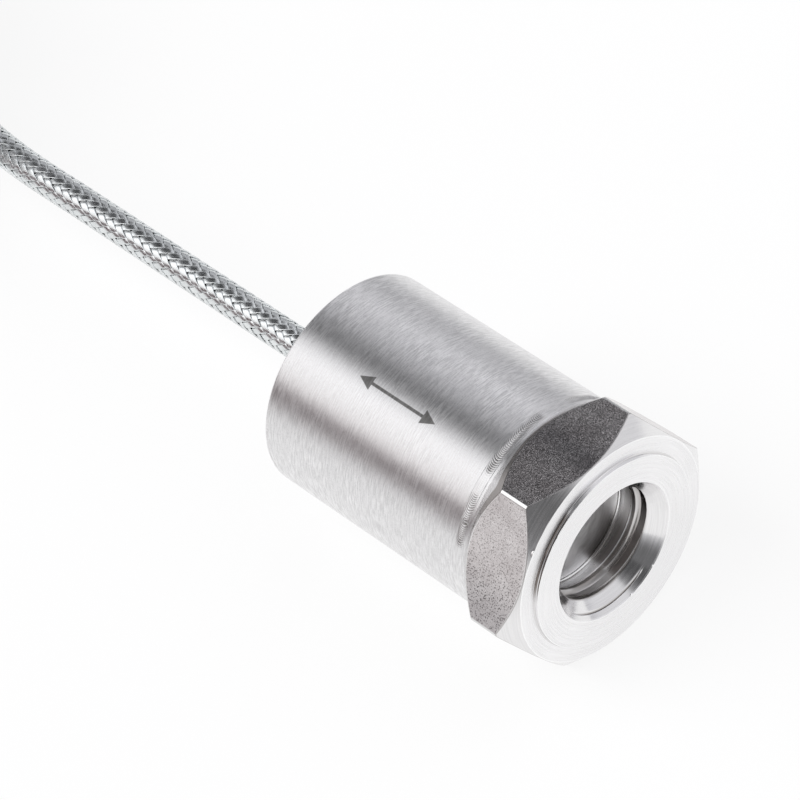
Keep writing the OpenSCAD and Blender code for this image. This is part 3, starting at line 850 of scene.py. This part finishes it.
def baseNet(s, seam):
    # hexagon, two cones and turned steps: every angle has its own profile from the spigot to the bore's floor
    angles = hexColumns(s)
    degrees, cols = np.degrees(angles), len(angles)
    away = halfTurn(degrees)
    fold = np.abs(np.mod(angles, np.pi / 3) - np.pi / 6)
    outer, runs = outerProfile(s, seam, angles, np.minimum(s["apothem"] / np.cos(fold), s["corner"]))
    depth = np.linspace(s["boreFrom"], s["boreTo"], s["boreRows"])[:, None]
    radius, *worked = boreRadius(s, depth, degrees)
    bend = np.linspace(0, np.pi / 2, 6)
    fillet = joined(s["floorAt"] + s["floorRound"] * (np.sin(bend) - 1),
                    s["relief"] + s["floorRound"] * (np.cos(bend) - 1))
    rings = np.linspace(s["relief"] - s["floorRound"] - s["floorGap"], s["floorEye"], s["floorRings"])
    inner = np.concatenate([[(s["wallTo"], s["relief"])], fillet, joined(s["floorAt"], rings)])
    profile = np.concatenate([outer, joined(depth, radius), np.repeat(inner[:, None, :], cols, 1)])
    marks = np.concatenate([outerMarks(s, runs, degrees, fold), boreMarks(s, depth, away, *worked),
                            endMarks(s, away, rings, len(bend))], 1)
    where = np.concatenate([runs, np.full(len(depth) + len(inner), partOf["inside"])])
    onFlat = where == partOf["flat"]
    onCollar = np.isin(where[:-1], (partOf["collarEdge"], partOf["collar"]))
    slots = np.where(onCollar, 2, onFlat[:-1] & onFlat[1:])  # turned, bar or case finish
    grid = lathe(profile, angles)
    uv = surfaceUv(grid, angles, s["roundMm"])
    coneUv(s, seam, uv, where, profile[..., 1])
    poles = ((-s["spigotEnd"], 0, 0), (-s["floorAt"], 0, 0))
    return net(grid, poles=poles, uv=uv, slots=slots, marks=dict(zip(("edge", "dark", "polish"), marks)))


def turnedFinish():
    # lathe finish: lines round the work, a painted highlight on broken edges, painted shade and dark reflections
    # where the marks say so, smoother where they say so
    material, tree, inputs = newFinish("turnedSteel", Anisotropic=0.45)
    grain = useGroup(tree, grainLines, Surface=surfaceOf(tree), Fine=5.4, Long=0.12)
    old = useGroup(tree, patina, Place=placeOf(tree), Blotches=160.0, Specks=3200.0)
    tone = shared(old["Blotch"], grain["Tone"], 0.35)
    plain = tint(tone, (0.845, 0.84, 0.845), (0.93, 0.925, 0.93))
    # painted highlight on the edges, the thread's lips and the bore's fillet
    edgeHighlight = tint(attributeOf(tree, "edge"), plain, (0.96, 0.96, 0.96))
    # the brown dark colour is painted shade and painted dark reflection, where the dark mark says
    give(tint(attributeOf(tree, "dark"), edgeHighlight, (0.118, 0.092, 0.075)), inputs["Base Color"])
    smoother = timesPlus(attributeOf(tree, "polish"), -0.6, 1.0)
    give(times(mapRange(tone, 0.0, 1.0, 0.24, 0.36), smoother), inputs["Roughness"])
    bumpTo(inputs, grain["Height"], 0.14, 0.00003)
    tangentTo(tree, inputs)
    return material


def barFinish():
    # bar left as it came: dull, peppered with tiny pits and bumps, faint scratches across it, darker in
    # stretches, a painted highlight along the corners
    material, tree, inputs = newFinish("barFlats")
    place = placeOf(tree)
    old = useGroup(tree, patina, Place=place, Blotches=330.0, Specks=7500.0)
    fine = useGroup(tree, patina, Place=place, Blotches=2400.0, Specks=11000.0)
    scratches = noise(stretch(place, 9000.0, 600.0, 600.0), 2.0, 0.6)
    dots = addNode(tree, "ShaderNodeTexVoronoi", {"Vector": place, "Scale": 5400.0})
    some = times(mapRange(dots["Color"], 0.32, 0.58), attributeOf(tree, "polish"))
    pepper = times(mapRange(dots["Distance"], 0.52, 0.26), some)
    ground = tint(old["Blotch"], (0.63, 0.595, 0.595), (0.75, 0.72, 0.72))
    pitted = tint(times(pepper, 0.9), ground, (0.12, 0.11, 0.105))
    # darker where the dark mark is on the flats
    darkened = tint(attributeOf(tree, "dark"), pitted, (0.13, 0.132, 0.15))
    corner = attributeOf(tree, "edge")
    # painted highlight along the flats' corners, where the bump also stops
    give(tint(corner, darkened, (0.72, 0.72, 0.72)), inputs["Base Color"])
    give(timesPlus(fine["Blotch"], 0.08, 0.2), inputs["Roughness"])
    bumps = minus(plus(old["Speck"], fine["Speck"]), pepper)
    bumpTo(inputs, times(timesPlus(scratches, 0.8, bumps), minus(1.0, corner)), 0.48, 0.000012)
    return material


turnedSteel, barFlats = turnedFinish(), barFinish()
baseFinishes = [turnedSteel, barFlats, brushedCase]
base = makePiece("mountingBase", [baseNet(baseShape, weldSeam)], baseFinishes)
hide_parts("mounting_base")


# weld bead

weldShape = {
    "crown": 0.01, "rows": 15, "ripples": 327, "ripple": 0.055, "bow": 1.5, "perRipple": 6,
    "climb": 0.7,             # part of a ripple that rises
    "calm": 0.12,             # strength of the ripples elsewhere
    "clear": [(98, 17), (136, 5), (149, 5), (222, 24), (285, 16), (345, 28), (38, 22)],  # where they stand out
    "clearFade": 4,
    "tackAngle": 142.0, "tackSize": 0.07, "tackWide": 0.32,
}


def weldNet(s, seam):
    # a nearly flush crown whose fine ripples bow back at the sides, saw-shaped along the seam,
    # with one round tack
    cols = s["ripples"] * s["perRipple"]
    angles = ringOf(cols)
    w = np.linspace(-1, 1, s["rows"])[:, None]
    drift = 0.3 * np.sin(5 * angles) + 0.25 * np.sin(17 * angles + 0.7) + 0.2 * np.sin(41 * angles)
    phase = np.mod(angles / (2 * np.pi) * s["ripples"] + drift + s["bow"] * w ** 2, 1.0)
    saw = np.where(phase < s["climb"], phase / s["climb"], (1 - phase) / (1 - s["climb"]))
    degrees = np.degrees(angles)
    away = np.stack([np.abs(halfTurn(degrees - middle)) - half for middle, half in s["clear"]]).min(0)
    strength = s["calm"] + (1 - s["calm"]) * rise(away, s["clearFade"], 0)
    side = 1 - w ** 4
    off = (angles - np.radians(s["tackAngle"])) * seam["radius"] / s["tackWide"]
    tack = bell(off, 0, 1) * bell(w, 0, 0.55)
    pit = bell(off, 1.1, 0.5) * bell(w, -0.4, 0.3)
    height = s["crown"] * (1 - w ** 2) + s["ripple"] * (saw - 0.5) * side * strength * (1 - tack)
    height = height + s["tackSize"] * (tack - pit)
    top = joined(seam["at"] + seam["half"] * w, seam["radius"] + height)
    bottom = joined(seam["at"] + np.zeros((1, cols)), seam["radius"] - seam["depth"])
    grid = lathe(np.concatenate([top, bottom]), angles)
    uv = surfaceUv(np.concatenate([grid, grid[:1]]), angles, 2 * np.pi * seam["radius"])
    # painted shade in the ripples' hollows and in the pit beside the tack
    low = np.maximum(rise(saw, 0.6, 0.15) * side * strength, 1.6 * pit)
    return net(grid, closeRows=True, uv=uv, marks={"low": np.concatenate([low, np.zeros((1, cols))])})


def weldFinish():
    # ground smooth beside the case, so nearly its tone, with painted shade darkening the ripples' hollows and the
    # pit beside the tack
    material, tree, inputs = newFinish("weldRipples", Anisotropic=0.88)
    grain = useGroup(tree, grainLines, Surface=surfaceOf(tree), Fine=6.0, Long=0.6)
    old = useGroup(tree, patina, Place=placeOf(tree), Blotches=260.0, Specks=5000.0)
    tone = shared(old["Blotch"], grain["Tone"], 0.4)
    plain = tint(tone, (0.67, 0.665, 0.67), (0.98, 0.975, 0.98))
    # painted shade where the low mark is
    give(tint(times(attributeOf(tree, "low"), 0.85), plain, (0.24, 0.23, 0.22)), inputs["Base Color"])
    give(mapRange(tone, 0.0, 1.0, 0.38, 0.48), inputs["Roughness"])
    bumpTo(inputs, old["Speck"], 0.15, 0.00002)
    tangentTo(tree, inputs)
    return material


weld = makePiece("weldBead", [weldNet(weldShape, weldSeam)], [weldFinish()])
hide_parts("weld_bead")


# coil ties

tieShape = {
    "centre": coilCentre, "bottom": -12.3, "inside": 16.4, "outside": 31.6, "height": 30.4,
    "gap": 0.2, "thick": 0.6, "width": 4.0, "round": 1.9, "strapSquare": 0.35,
    "head": (3.2, 5.2, 4.4), "headSquare": 0.22,  # the smaller, the squarer
    "stubOut": 0.55, "stubIn": 0.6, "stubLong": 1.9, "stubWide": 0.92, "near": 42.0, "far": 222.0,
}


def squared(x, power):
    # keeps the sign and raises the size to a power, which squares up a circle
    return np.sign(x) * np.abs(x) ** power


def tieNets(s, degrees):
    # the strap is a flat rounded section carried round a rounded oblong; the head is a soft-cornered block
    # with the strap's stub on top
    middle, r = s["gap"] + s["thick"] / 2, s["round"]
    left, right = s["inside"] - middle + r, s["outside"] + middle - r
    low, high = s["bottom"] - middle + r, s["bottom"] + s["height"] + middle - r
    centres = np.array([(right, high), (left, high), (left, low), (right, low)])
    turn = np.arange(4)[:, None] * np.pi / 2 + np.linspace(0, np.pi / 2, 9)
    normal = joined(np.cos(turn), np.sin(turn))
    path = (centres[:, None, :] + r * normal).reshape(-1, 1, 2)
    edge = ringOf(16)
    sideways = squared(np.cos(edge), s["strapSquare"]) * s["width"] / 2
    outward = squared(np.sin(edge), s["strapSquare"]) * s["thick"] / 2
    flat = path + normal.reshape(-1, 1, 2) * outward[:, None]
    strap = joined(flat[..., 0], sideways, flat[..., 1])
    deep, across, tall = s["head"]
    u, v = ringOf(48), np.linspace(-np.pi / 2, np.pi / 2, 25)[1:-1, None]
    cosU, sinU, cosV, sinV = (squared(x, s["headSquare"]) for x in (np.cos(u), np.sin(u), np.cos(v), np.sin(v)))
    seat = np.array([s["outside"] + s["gap"] + deep / 2, 0, s["bottom"] + s["height"] / 2 + tall / 2])
    block = seat + joined(cosV * cosU * deep / 2, cosV * sinU * across / 2, sinV * tall / 2)
    upright = np.array([0, 0, tall / 2])
    tail = np.linspace(0, 1, 4)[:, None]
    stub = joined(seat[0] + s["stubOut"] + outward, sideways * s["stubWide"],
                  seat[2] + tall / 2 - s["stubIn"] + s["stubLong"] * tail)
    a = np.radians(degrees)
    spin = np.array([[np.cos(a), -np.sin(a), 0], [np.sin(a), np.cos(a), 0], [0, 0, 1]])

    def placed(points):
        return points @ spin.T + np.array([*s["centre"], 0])

    return [net(placed(strap), closeRows=True),
            net(placed(block), poles=(placed(seat - upright), placed(seat + upright))),
            net(placed(stub), poles=(placed(stub[0].mean(0)), placed(stub[-1].mean(0))))]


def plasticFinish(name, dark, light, rough, scale, bump):
    # moulded or extruded plastic: two close shades in soft blotches, fine grain in the gloss
    material, tree, inputs = newFinish(name, metallic=0.0, Specular_IOR_Level=0.45)
    old = useGroup(tree, patina, Place=placeOf(tree), Blotches=scale, Specks=scale * 12)
    give(tint(old["Blotch"], dark, light), inputs["Base Color"])
    give(mapRange(old["Blotch"], 0.0, 1.0, rough - 0.06, rough + 0.08), inputs["Roughness"])
    bumpTo(inputs, minus(old["Blotch"], old["Pit"]), bump, 0.00003)
    return material


tieNylon = plasticFinish("tieNylon", (0.022, 0.022, 0.023), (0.05, 0.05, 0.052), 0.42, 500.0, 0.2)
tieNear = makePiece("coilTieNear", tieNets(tieShape, tieShape["near"]), [tieNylon])
tieFar = makePiece("coilTieFar", tieNets(tieShape, tieShape["far"]), [tieNylon])
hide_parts("cable_tie_near")
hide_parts("cable_tie_far")
onCable += [tieNear, tieFar]


# the cable's free end

freeEnd = {
    "centre": coilCentre, "radius": cableLine["tailRadius"], "height": cableLine["tailHeight"],
    # each piece's stretch round the coil in degrees
    "sleeve": (115.0, 150.0), "sleeveRadius": 2.35, "neckRadius": 1.9, "neckAt": (131.0, 138.0),
    "sleeveRows": 60, "pucker": 0.05, "puckerAt": (128, 132, 138, 142), "sleeveRound": 0.35,
    "jacket": (130.0, 162.0), "jacketRadius": 1.45, "jacketRows": 48,
    "leads": (160.0, 204.0), "leadRadius": 0.5, "leadGap": 0.7, "leadRows": 64, "sway": 0.14, "sag": 0.1,
    "screen": (160.0, 198.0), "screenLow": 0.8, "tips": (203.0, 212.0),
}


def arcFrames(s, reach, count, outward=0.0, low=0.0):
    # part of a level circle about the coil's middle, with offsets that may change along it
    a = np.radians(np.linspace(*reach, count))
    x, y = s["centre"]
    radius = s["radius"] + outward
    return framesOf(joined(x + radius * np.cos(a), y + radius * np.sin(a), s["height"] - low))


def fromEnds(count):
    # how many rows each row is from the nearer end
    return np.minimum(np.arange(count), np.arange(count)[::-1])


def roundEnds(count, radius, taper=2):
    # full radius with rounded ends: a quarter circle over the first and last few rows
    t = np.clip((fromEnds(count) + 0.6) / taper, 0, 1)
    return radius * np.sqrt(np.clip(1 - (1 - t) ** 2, 0.05, 1))


def strandNets(frames, bundle, each, twist, strands=6, sides=6):
    # round wires laid in a ring about one in the middle, all turning together
    along = frames["along"]
    radii = roundEnds(len(along), each)
    nets = [rodNet(frames, radii, sides)]
    for k in range(strands):
        angle = 2 * np.pi * k / strands + twist * along
        aside = np.cos(angle)[:, None] * frames["side"] + np.sin(angle)[:, None] * frames["up"]
        nets.append(rodNet(framesOf(frames["points"] + bundle * aside), radii, sides))
    return nets


def sleeveNet(s):
    # wide over the braid, a soft step down to the jacket with small puckers, and rounded ends
    degrees, fade = np.linspace(*s["sleeve"], s["sleeveRows"]), fromEnds(s["sleeveRows"])
    pucker = s["pucker"] * np.sin(degrees * 2.1) * span(degrees, *s["puckerAt"])
    step = (s["neckRadius"] - s["sleeveRadius"]) * rise(degrees, *s["neckAt"])
    radii = s["sleeveRadius"] + step - np.abs(pucker)
    radii = np.where(fade < 2, radii - s["sleeveRound"] * (1 - fade / 2) ** 2, radii)
    return rodNet(arcFrames(s, s["sleeve"], s["sleeveRows"]), radii, 32)


def leadNet(s, way):
    # a core on its side of the middle that sways and sags a little between its fixed ends
    rows = s["leadRows"]
    t = np.linspace(0, 1, rows)
    sway = s["sway"] * np.sin(2 * np.pi * (1.3 * t + 0.2 * way)) * np.sin(np.pi * t)
    sag = s["sag"] * np.sin(2 * np.pi * (0.9 * t + 0.1 * way)) * np.sin(np.pi * t)
    frames = arcFrames(s, s["leads"], rows, way * s["leadGap"] + sway, sag)
    return rodNet(frames, roundEnds(rows, s["leadRadius"]), 20)


def jacketNet(s):
    # a plain round rod with rounded ends
    frames = arcFrames(s, s["jacket"], s["jacketRows"])
    return rodNet(frames, roundEnds(s["jacketRows"], s["jacketRadius"]), 28)


def tipNets(s):
    # the bare strands of both cores
    sides = [arcFrames(s, s["tips"], 24, way * s["leadGap"]) for way in (1, -1)]
    return [n for frames in sides for n in strandNets(frames, 0.19, 0.1, 1.8)]


def screenNets(s):
    # the screen's strands, twisted below the cores
    return strandNets(arcFrames(s, s["screen"], 140, low=s["screenLow"]), 0.25, 0.13, 2.4)


def tinFinish():
    # soft bright tin, greyer in blotches
    material, tree, inputs = newFinish("tinnedWire")
    old = useGroup(tree, patina, Place=placeOf(tree), Blotches=900.0, Specks=6000.0)
    give(tint(old["Blotch"], (0.58, 0.575, 0.56), (0.78, 0.775, 0.76)), inputs["Base Color"])
    give(mapRange(old["Blotch"], 0.0, 1.0, 0.28, 0.42), inputs["Roughness"])
    bumpTo(inputs, old["Speck"], 0.15, 0.00002)
    return material


shrinkBlack = plasticFinish("shrinkBlack", (0.016, 0.016, 0.017), (0.036, 0.036, 0.038), 0.38, 420.0, 0.25)
jacketGrey = plasticFinish("jacketGrey", (0.24, 0.24, 0.25), (0.34, 0.34, 0.35), 0.5, 600.0, 0.2)
coreRed = plasticFinish("coreRed", (0.5, 0.03, 0.022), (0.66, 0.055, 0.04), 0.4, 700.0, 0.15)
coreWhite = plasticFinish("coreWhite", (0.74, 0.74, 0.72), (0.85, 0.85, 0.83), 0.4, 700.0, 0.15)
tinnedWire = tinFinish()
for pieceName, nets, finish, slotName, solid in (
    ("shrinkSleeve", [sleeveNet(freeEnd)], shrinkBlack, "shrink_black", "shrink_sleeve"),
    ("innerJacket", [jacketNet(freeEnd)], jacketGrey, "jacket_grey", "inner_jacket"),
    ("redLead", [leadNet(freeEnd, 1)], coreRed, "core_red", "red_lead"),
    ("whiteLead", [leadNet(freeEnd, -1)], coreWhite, "core_white", "white_lead"),
    ("screenLead", screenNets(freeEnd), tinnedWire, "tinned_copper", "screen_lead"),
    ("leadTips", tipNets(freeEnd), tinnedWire, "tinned_copper", "lead_tips"),
):
    made = makePiece(pieceName, nets, [finish])
    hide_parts(solid)
    onCable.append(made)


# finishes of the inner parts, which stay as their solids

# each metal: its dark and light shade, roughness, lines per mm and the solids that wear it
innerMetals = {
    "innerSteel": (
        (0.48, 0.48, 0.49), (0.66, 0.66, 0.67), 0.3, 6.0, ("pedestal", "spring_washer", "preload_nut")),
    "massSteel": ((0.28, 0.28, 0.3), (0.44, 0.44, 0.46), 0.28, 8.0, ("seismic_mass",)),
    "shieldSteel": ((0.52, 0.52, 0.52), (0.66, 0.66, 0.66), 0.34, 4.0, ("shield_can",)),
    "ferruleSteel": ((0.55, 0.54, 0.53), (0.7, 0.69, 0.68), 0.3, 6.0, ("crimp_ferrule",)),
    "electrodeBrass": ((0.66, 0.48, 0.2), (0.82, 0.64, 0.32), 0.3, 5.0, ("electrode",)),
    "leadGold": ((0.74, 0.56, 0.22), (0.88, 0.7, 0.36), 0.24, 5.0, ("signal_lead",)),
}
# each plastic or ceramic: its shades, roughness, blotches per metre, bump and the solids that wear it
innerPlastics = {
    "alumina": ((0.82, 0.81, 0.77), (0.9, 0.89, 0.85), 0.55, 500.0, 0.2, ("isolation_disc", "insulating_washer")),
    "piezoCeramic": (
        (0.55, 0.48, 0.36), (0.68, 0.6, 0.46), 0.6, 600.0, 0.2, ("lower_piezo_ring", "upper_piezo_ring")),
    "sleeveWhite": ((0.78, 0.78, 0.76), (0.88, 0.88, 0.86), 0.45, 400.0, 0.15, ("insulating_sleeve",)),
    "padRubber": ((0.48, 0.18, 0.06), (0.6, 0.25, 0.1), 0.7, 500.0, 0.3, ("board_pad",)),
    "boardLaminate": ((0.03, 0.17, 0.075), (0.05, 0.26, 0.12), 0.35, 350.0, 0.15, ("amplifier_board",)),
    "chipBlack": ((0.02, 0.02, 0.021), (0.04, 0.04, 0.042), 0.55, 900.0, 0.3, ("amplifier_chip",)),
    "resistorBlack": ((0.04, 0.04, 0.048), (0.08, 0.08, 0.09), 0.3, 900.0, 0.15, ("board_resistors",)),
    "capacitorTan": ((0.43, 0.3, 0.18), (0.56, 0.41, 0.26), 0.5, 900.0, 0.2, ("board_capacitors",)),
    "sealResin": ((0.04, 0.04, 0.048), (0.065, 0.065, 0.075), 0.25, 300.0, 0.15, ("entry_seal",)),
}


def innerMetal(name, dark, light, rough, lines):
    # turned or rolled metal: lines across the axis from noise that is quick along it
    material, tree, inputs = newFinish(name)
    place = placeOf(tree)
    grain = useGroup(tree, grainLines, Surface=stretch(place, *[1 / mm] * 3), Fine=lines, Long=0.2)
    old = useGroup(tree, patina, Place=place, Blotches=200.0, Specks=3000.0)
    tone = shared(old["Blotch"], grain["Tone"], 0.4)
    give(tint(tone, dark, light), inputs["Base Color"])
    give(mapRange(tone, 0.0, 1.0, rough - 0.05, rough + 0.08), inputs["Roughness"])
    bumpTo(inputs, grain["Height"], 0.2, 0.00003)
    return material


def dress(finish, solids):
    # the finish takes the place of what the solids came with
    for name in solids:
        nodes[name].data.materials.clear()
        nodes[name].data.materials.append(finish)


for makeFinish, table in ((innerMetal, innerMetals), (plasticFinish, innerPlastics)):
    for name, (*look, solids) in table.items():
        dress(makeFinish(name, *look), solids)
dress(coreRed, ("signal_core",))
dress(coreWhite, ("return_core",))
print("inner parts finished")


# floor, studio and light

studio = {
    "floorAt": -13.11, "floorRings": (40.0, 150.0, 400.0, 1200.0, 4000.0), "floorSides": 96,
    "floorColour": (0.95, 0.95, 0.95), "ownWhite": 0.86,
    # brightness round the sensor's axis: degrees from +Y over the top to -Y, then red, green and blue
    "dome": [
        (-180, 0.78, 0.75, 0.75), (-140, 0.88, 0.87, 0.87), (-90, 0.8, 0.8, 0.8), (-60, 0.74, 0.74, 0.75),
        (-10, 0.66, 0.66, 0.68), (5, 0.58, 0.58, 0.61),
        (25, 0.74, 0.74, 0.77), (45, 1.12, 1.12, 1.16), (60, 1.5, 1.5, 1.56), (72, 1.15, 1.15, 1.2),
        (82, 0.3, 0.3, 0.31), (92, 0.06, 0.06, 0.063), (98, 0.09, 0.09, 0.095), (108, 1.2, 1.2, 1.22),
        (117, 1.76, 1.76, 1.78), (130, 1.84, 1.83, 1.84), (144, 1.8, 1.79, 1.79), (153, 1.9, 1.82, 1.82),
        (157.5, 0.08, 0.035, 0.042), (168, 0.06, 0.025, 0.03), (175, 0.26, 0.21, 0.22), (180, 0.78, 0.75, 0.75),
    ],
    # patches: direction, inner and outer half angle, and the part of the light that they take away
    "dimPatches": [
        ((-0.56, 0.36, 0.75), 12, 23, 0.97), ((-0.56, 0.78, 0.28), 14, 32, 0.38),
        ((-0.56, -0.68, 0.48), 8, 20, 0.35), ((0.72, -0.42, 0.55), 14, 44, 0.8),
        ((0.72, -0.12, 0.68), 14, 18, 0.5), ((-1, 0, 0.1), 18, 34, 0.75),
    ],
    "frontFrom": 0.25, "frontTo": 0.5, "front": (0.78, 0.78, 0.8),  # plain light on the bearing face's side
    "key": (-0.35, -0.5, 0.79), "keyStrength": 1.2, "keySpread": 0.7,
}


def unit(v):
    return np.array(v) / np.linalg.norm(v)


def floorFinish(s):
    # the camera and the metal see it nearly white, with the shadow still on it
    material = bpy.data.materials.new("paleFloor")
    material.use_nodes = True
    tree = material.node_tree
    tree.nodes.clear()
    matt = addNode(tree, "ShaderNodeBsdfDiffuse", {"Color": (*s["floorColour"], 1)})[0]
    glow = addNode(tree, "ShaderNodeEmission")[0]
    path = addNode(tree, "ShaderNodeLightPath")
    seen = mathNode("MAXIMUM", path["Is Camera Ray"], path["Is Glossy Ray"])
    seen = mathNode("MAXIMUM", seen, path["Is Transmission Ray"])
    mixed = addNode(tree, "ShaderNodeMixShader", {0: times(seen, s["ownWhite"]), 1: matt, 2: glow})[0]
    addNode(tree, "ShaderNodeOutputMaterial", {0: mixed})
    return material


def addFloor(s):
    # a wide disc made of rings about the middle
    a, r = ringOf(s["floorSides"]), np.array(s["floorRings"])[:, None]
    disc = joined(r * np.cos(a), r * np.sin(a), s["floorAt"])
    made = net(disc, poles=((0, 0, s["floorAt"]), None))
    mesh = bpy.data.meshes.new("floor")
    mesh.from_pydata((made["points"] * mm).tolist(), [], made["quads"].tolist() + made["tris"].tolist())
    mesh.materials.append(floorFinish(s))
    floor = bpy.data.objects.new("floor", mesh)
    bpy.context.scene.collection.objects.link(floor)


def patchMask(direction, towards, inner, outer):
    # 1 within the inner angle of a direction, falling softly to 0 at the outer one
    given = {0: direction, 1: tuple(unit(towards))}
    dot = addNode(direction.id_data, "ShaderNodeVectorMath", given, operation="DOT_PRODUCT")["Value"]
    return mapRange(dot, np.cos(np.radians(outer)), np.cos(np.radians(inner)))


def addDome(s):
    # soft boxes and dark gaps as strips that run along the sensor, so turned steel shows bands
    world = bpy.data.worlds.new("studioDome")
    bpy.context.scene.world = world
    world.use_nodes = True
    tree = world.node_tree
    tree.nodes.clear()
    direction = addNode(tree, "ShaderNodeTexCoord")["Generated"]
    x, y, z = axesOf(direction)
    turn = timesPlus(mathNode("ARCTAN2", z, y), 1 / (2 * np.pi), 0.5)
    ramp = addNode(tree, "ShaderNodeValToRGB", {0: turn})[0]
    stops = ramp.node.color_ramp.elements
    for k, (degrees, *colour) in enumerate(s["dome"]):
        place = (degrees + 180) / 360
        stop = stops[k] if k < 2 else stops.new(place)
        stop.position, stop.color = place, (*colour, 1)
    level = 1.0
    for *patch, less in s["dimPatches"]:
        level = times(level, timesPlus(patchMask(direction, *patch), -less, 1.0))
    shade = tint(mapRange(x, s["frontFrom"], s["frontTo"]), ramp, s["front"])
    light = addNode(tree, "ShaderNodeBackground", {"Color": shade, "Strength": level})[0]
    addNode(tree, "ShaderNodeOutputWorld", {0: light})


def addKey(s):
    # a soft sun that the metal doesn't mirror
    data = bpy.data.lights.new("keyLight", "SUN")
    data.energy, data.angle = s["keyStrength"], s["keySpread"]
    back = unit(s["key"])
    side = unit(np.cross((0, 0, 1), back))
    addTurned("keyLight", data, (side, np.cross(back, side), back), back).visible_glossy = False


addFloor(studio)
addDome(studio)
addKey(studio)
bpy.context.scene.view_settings.view_transform = "Standard"
print("studio lit")
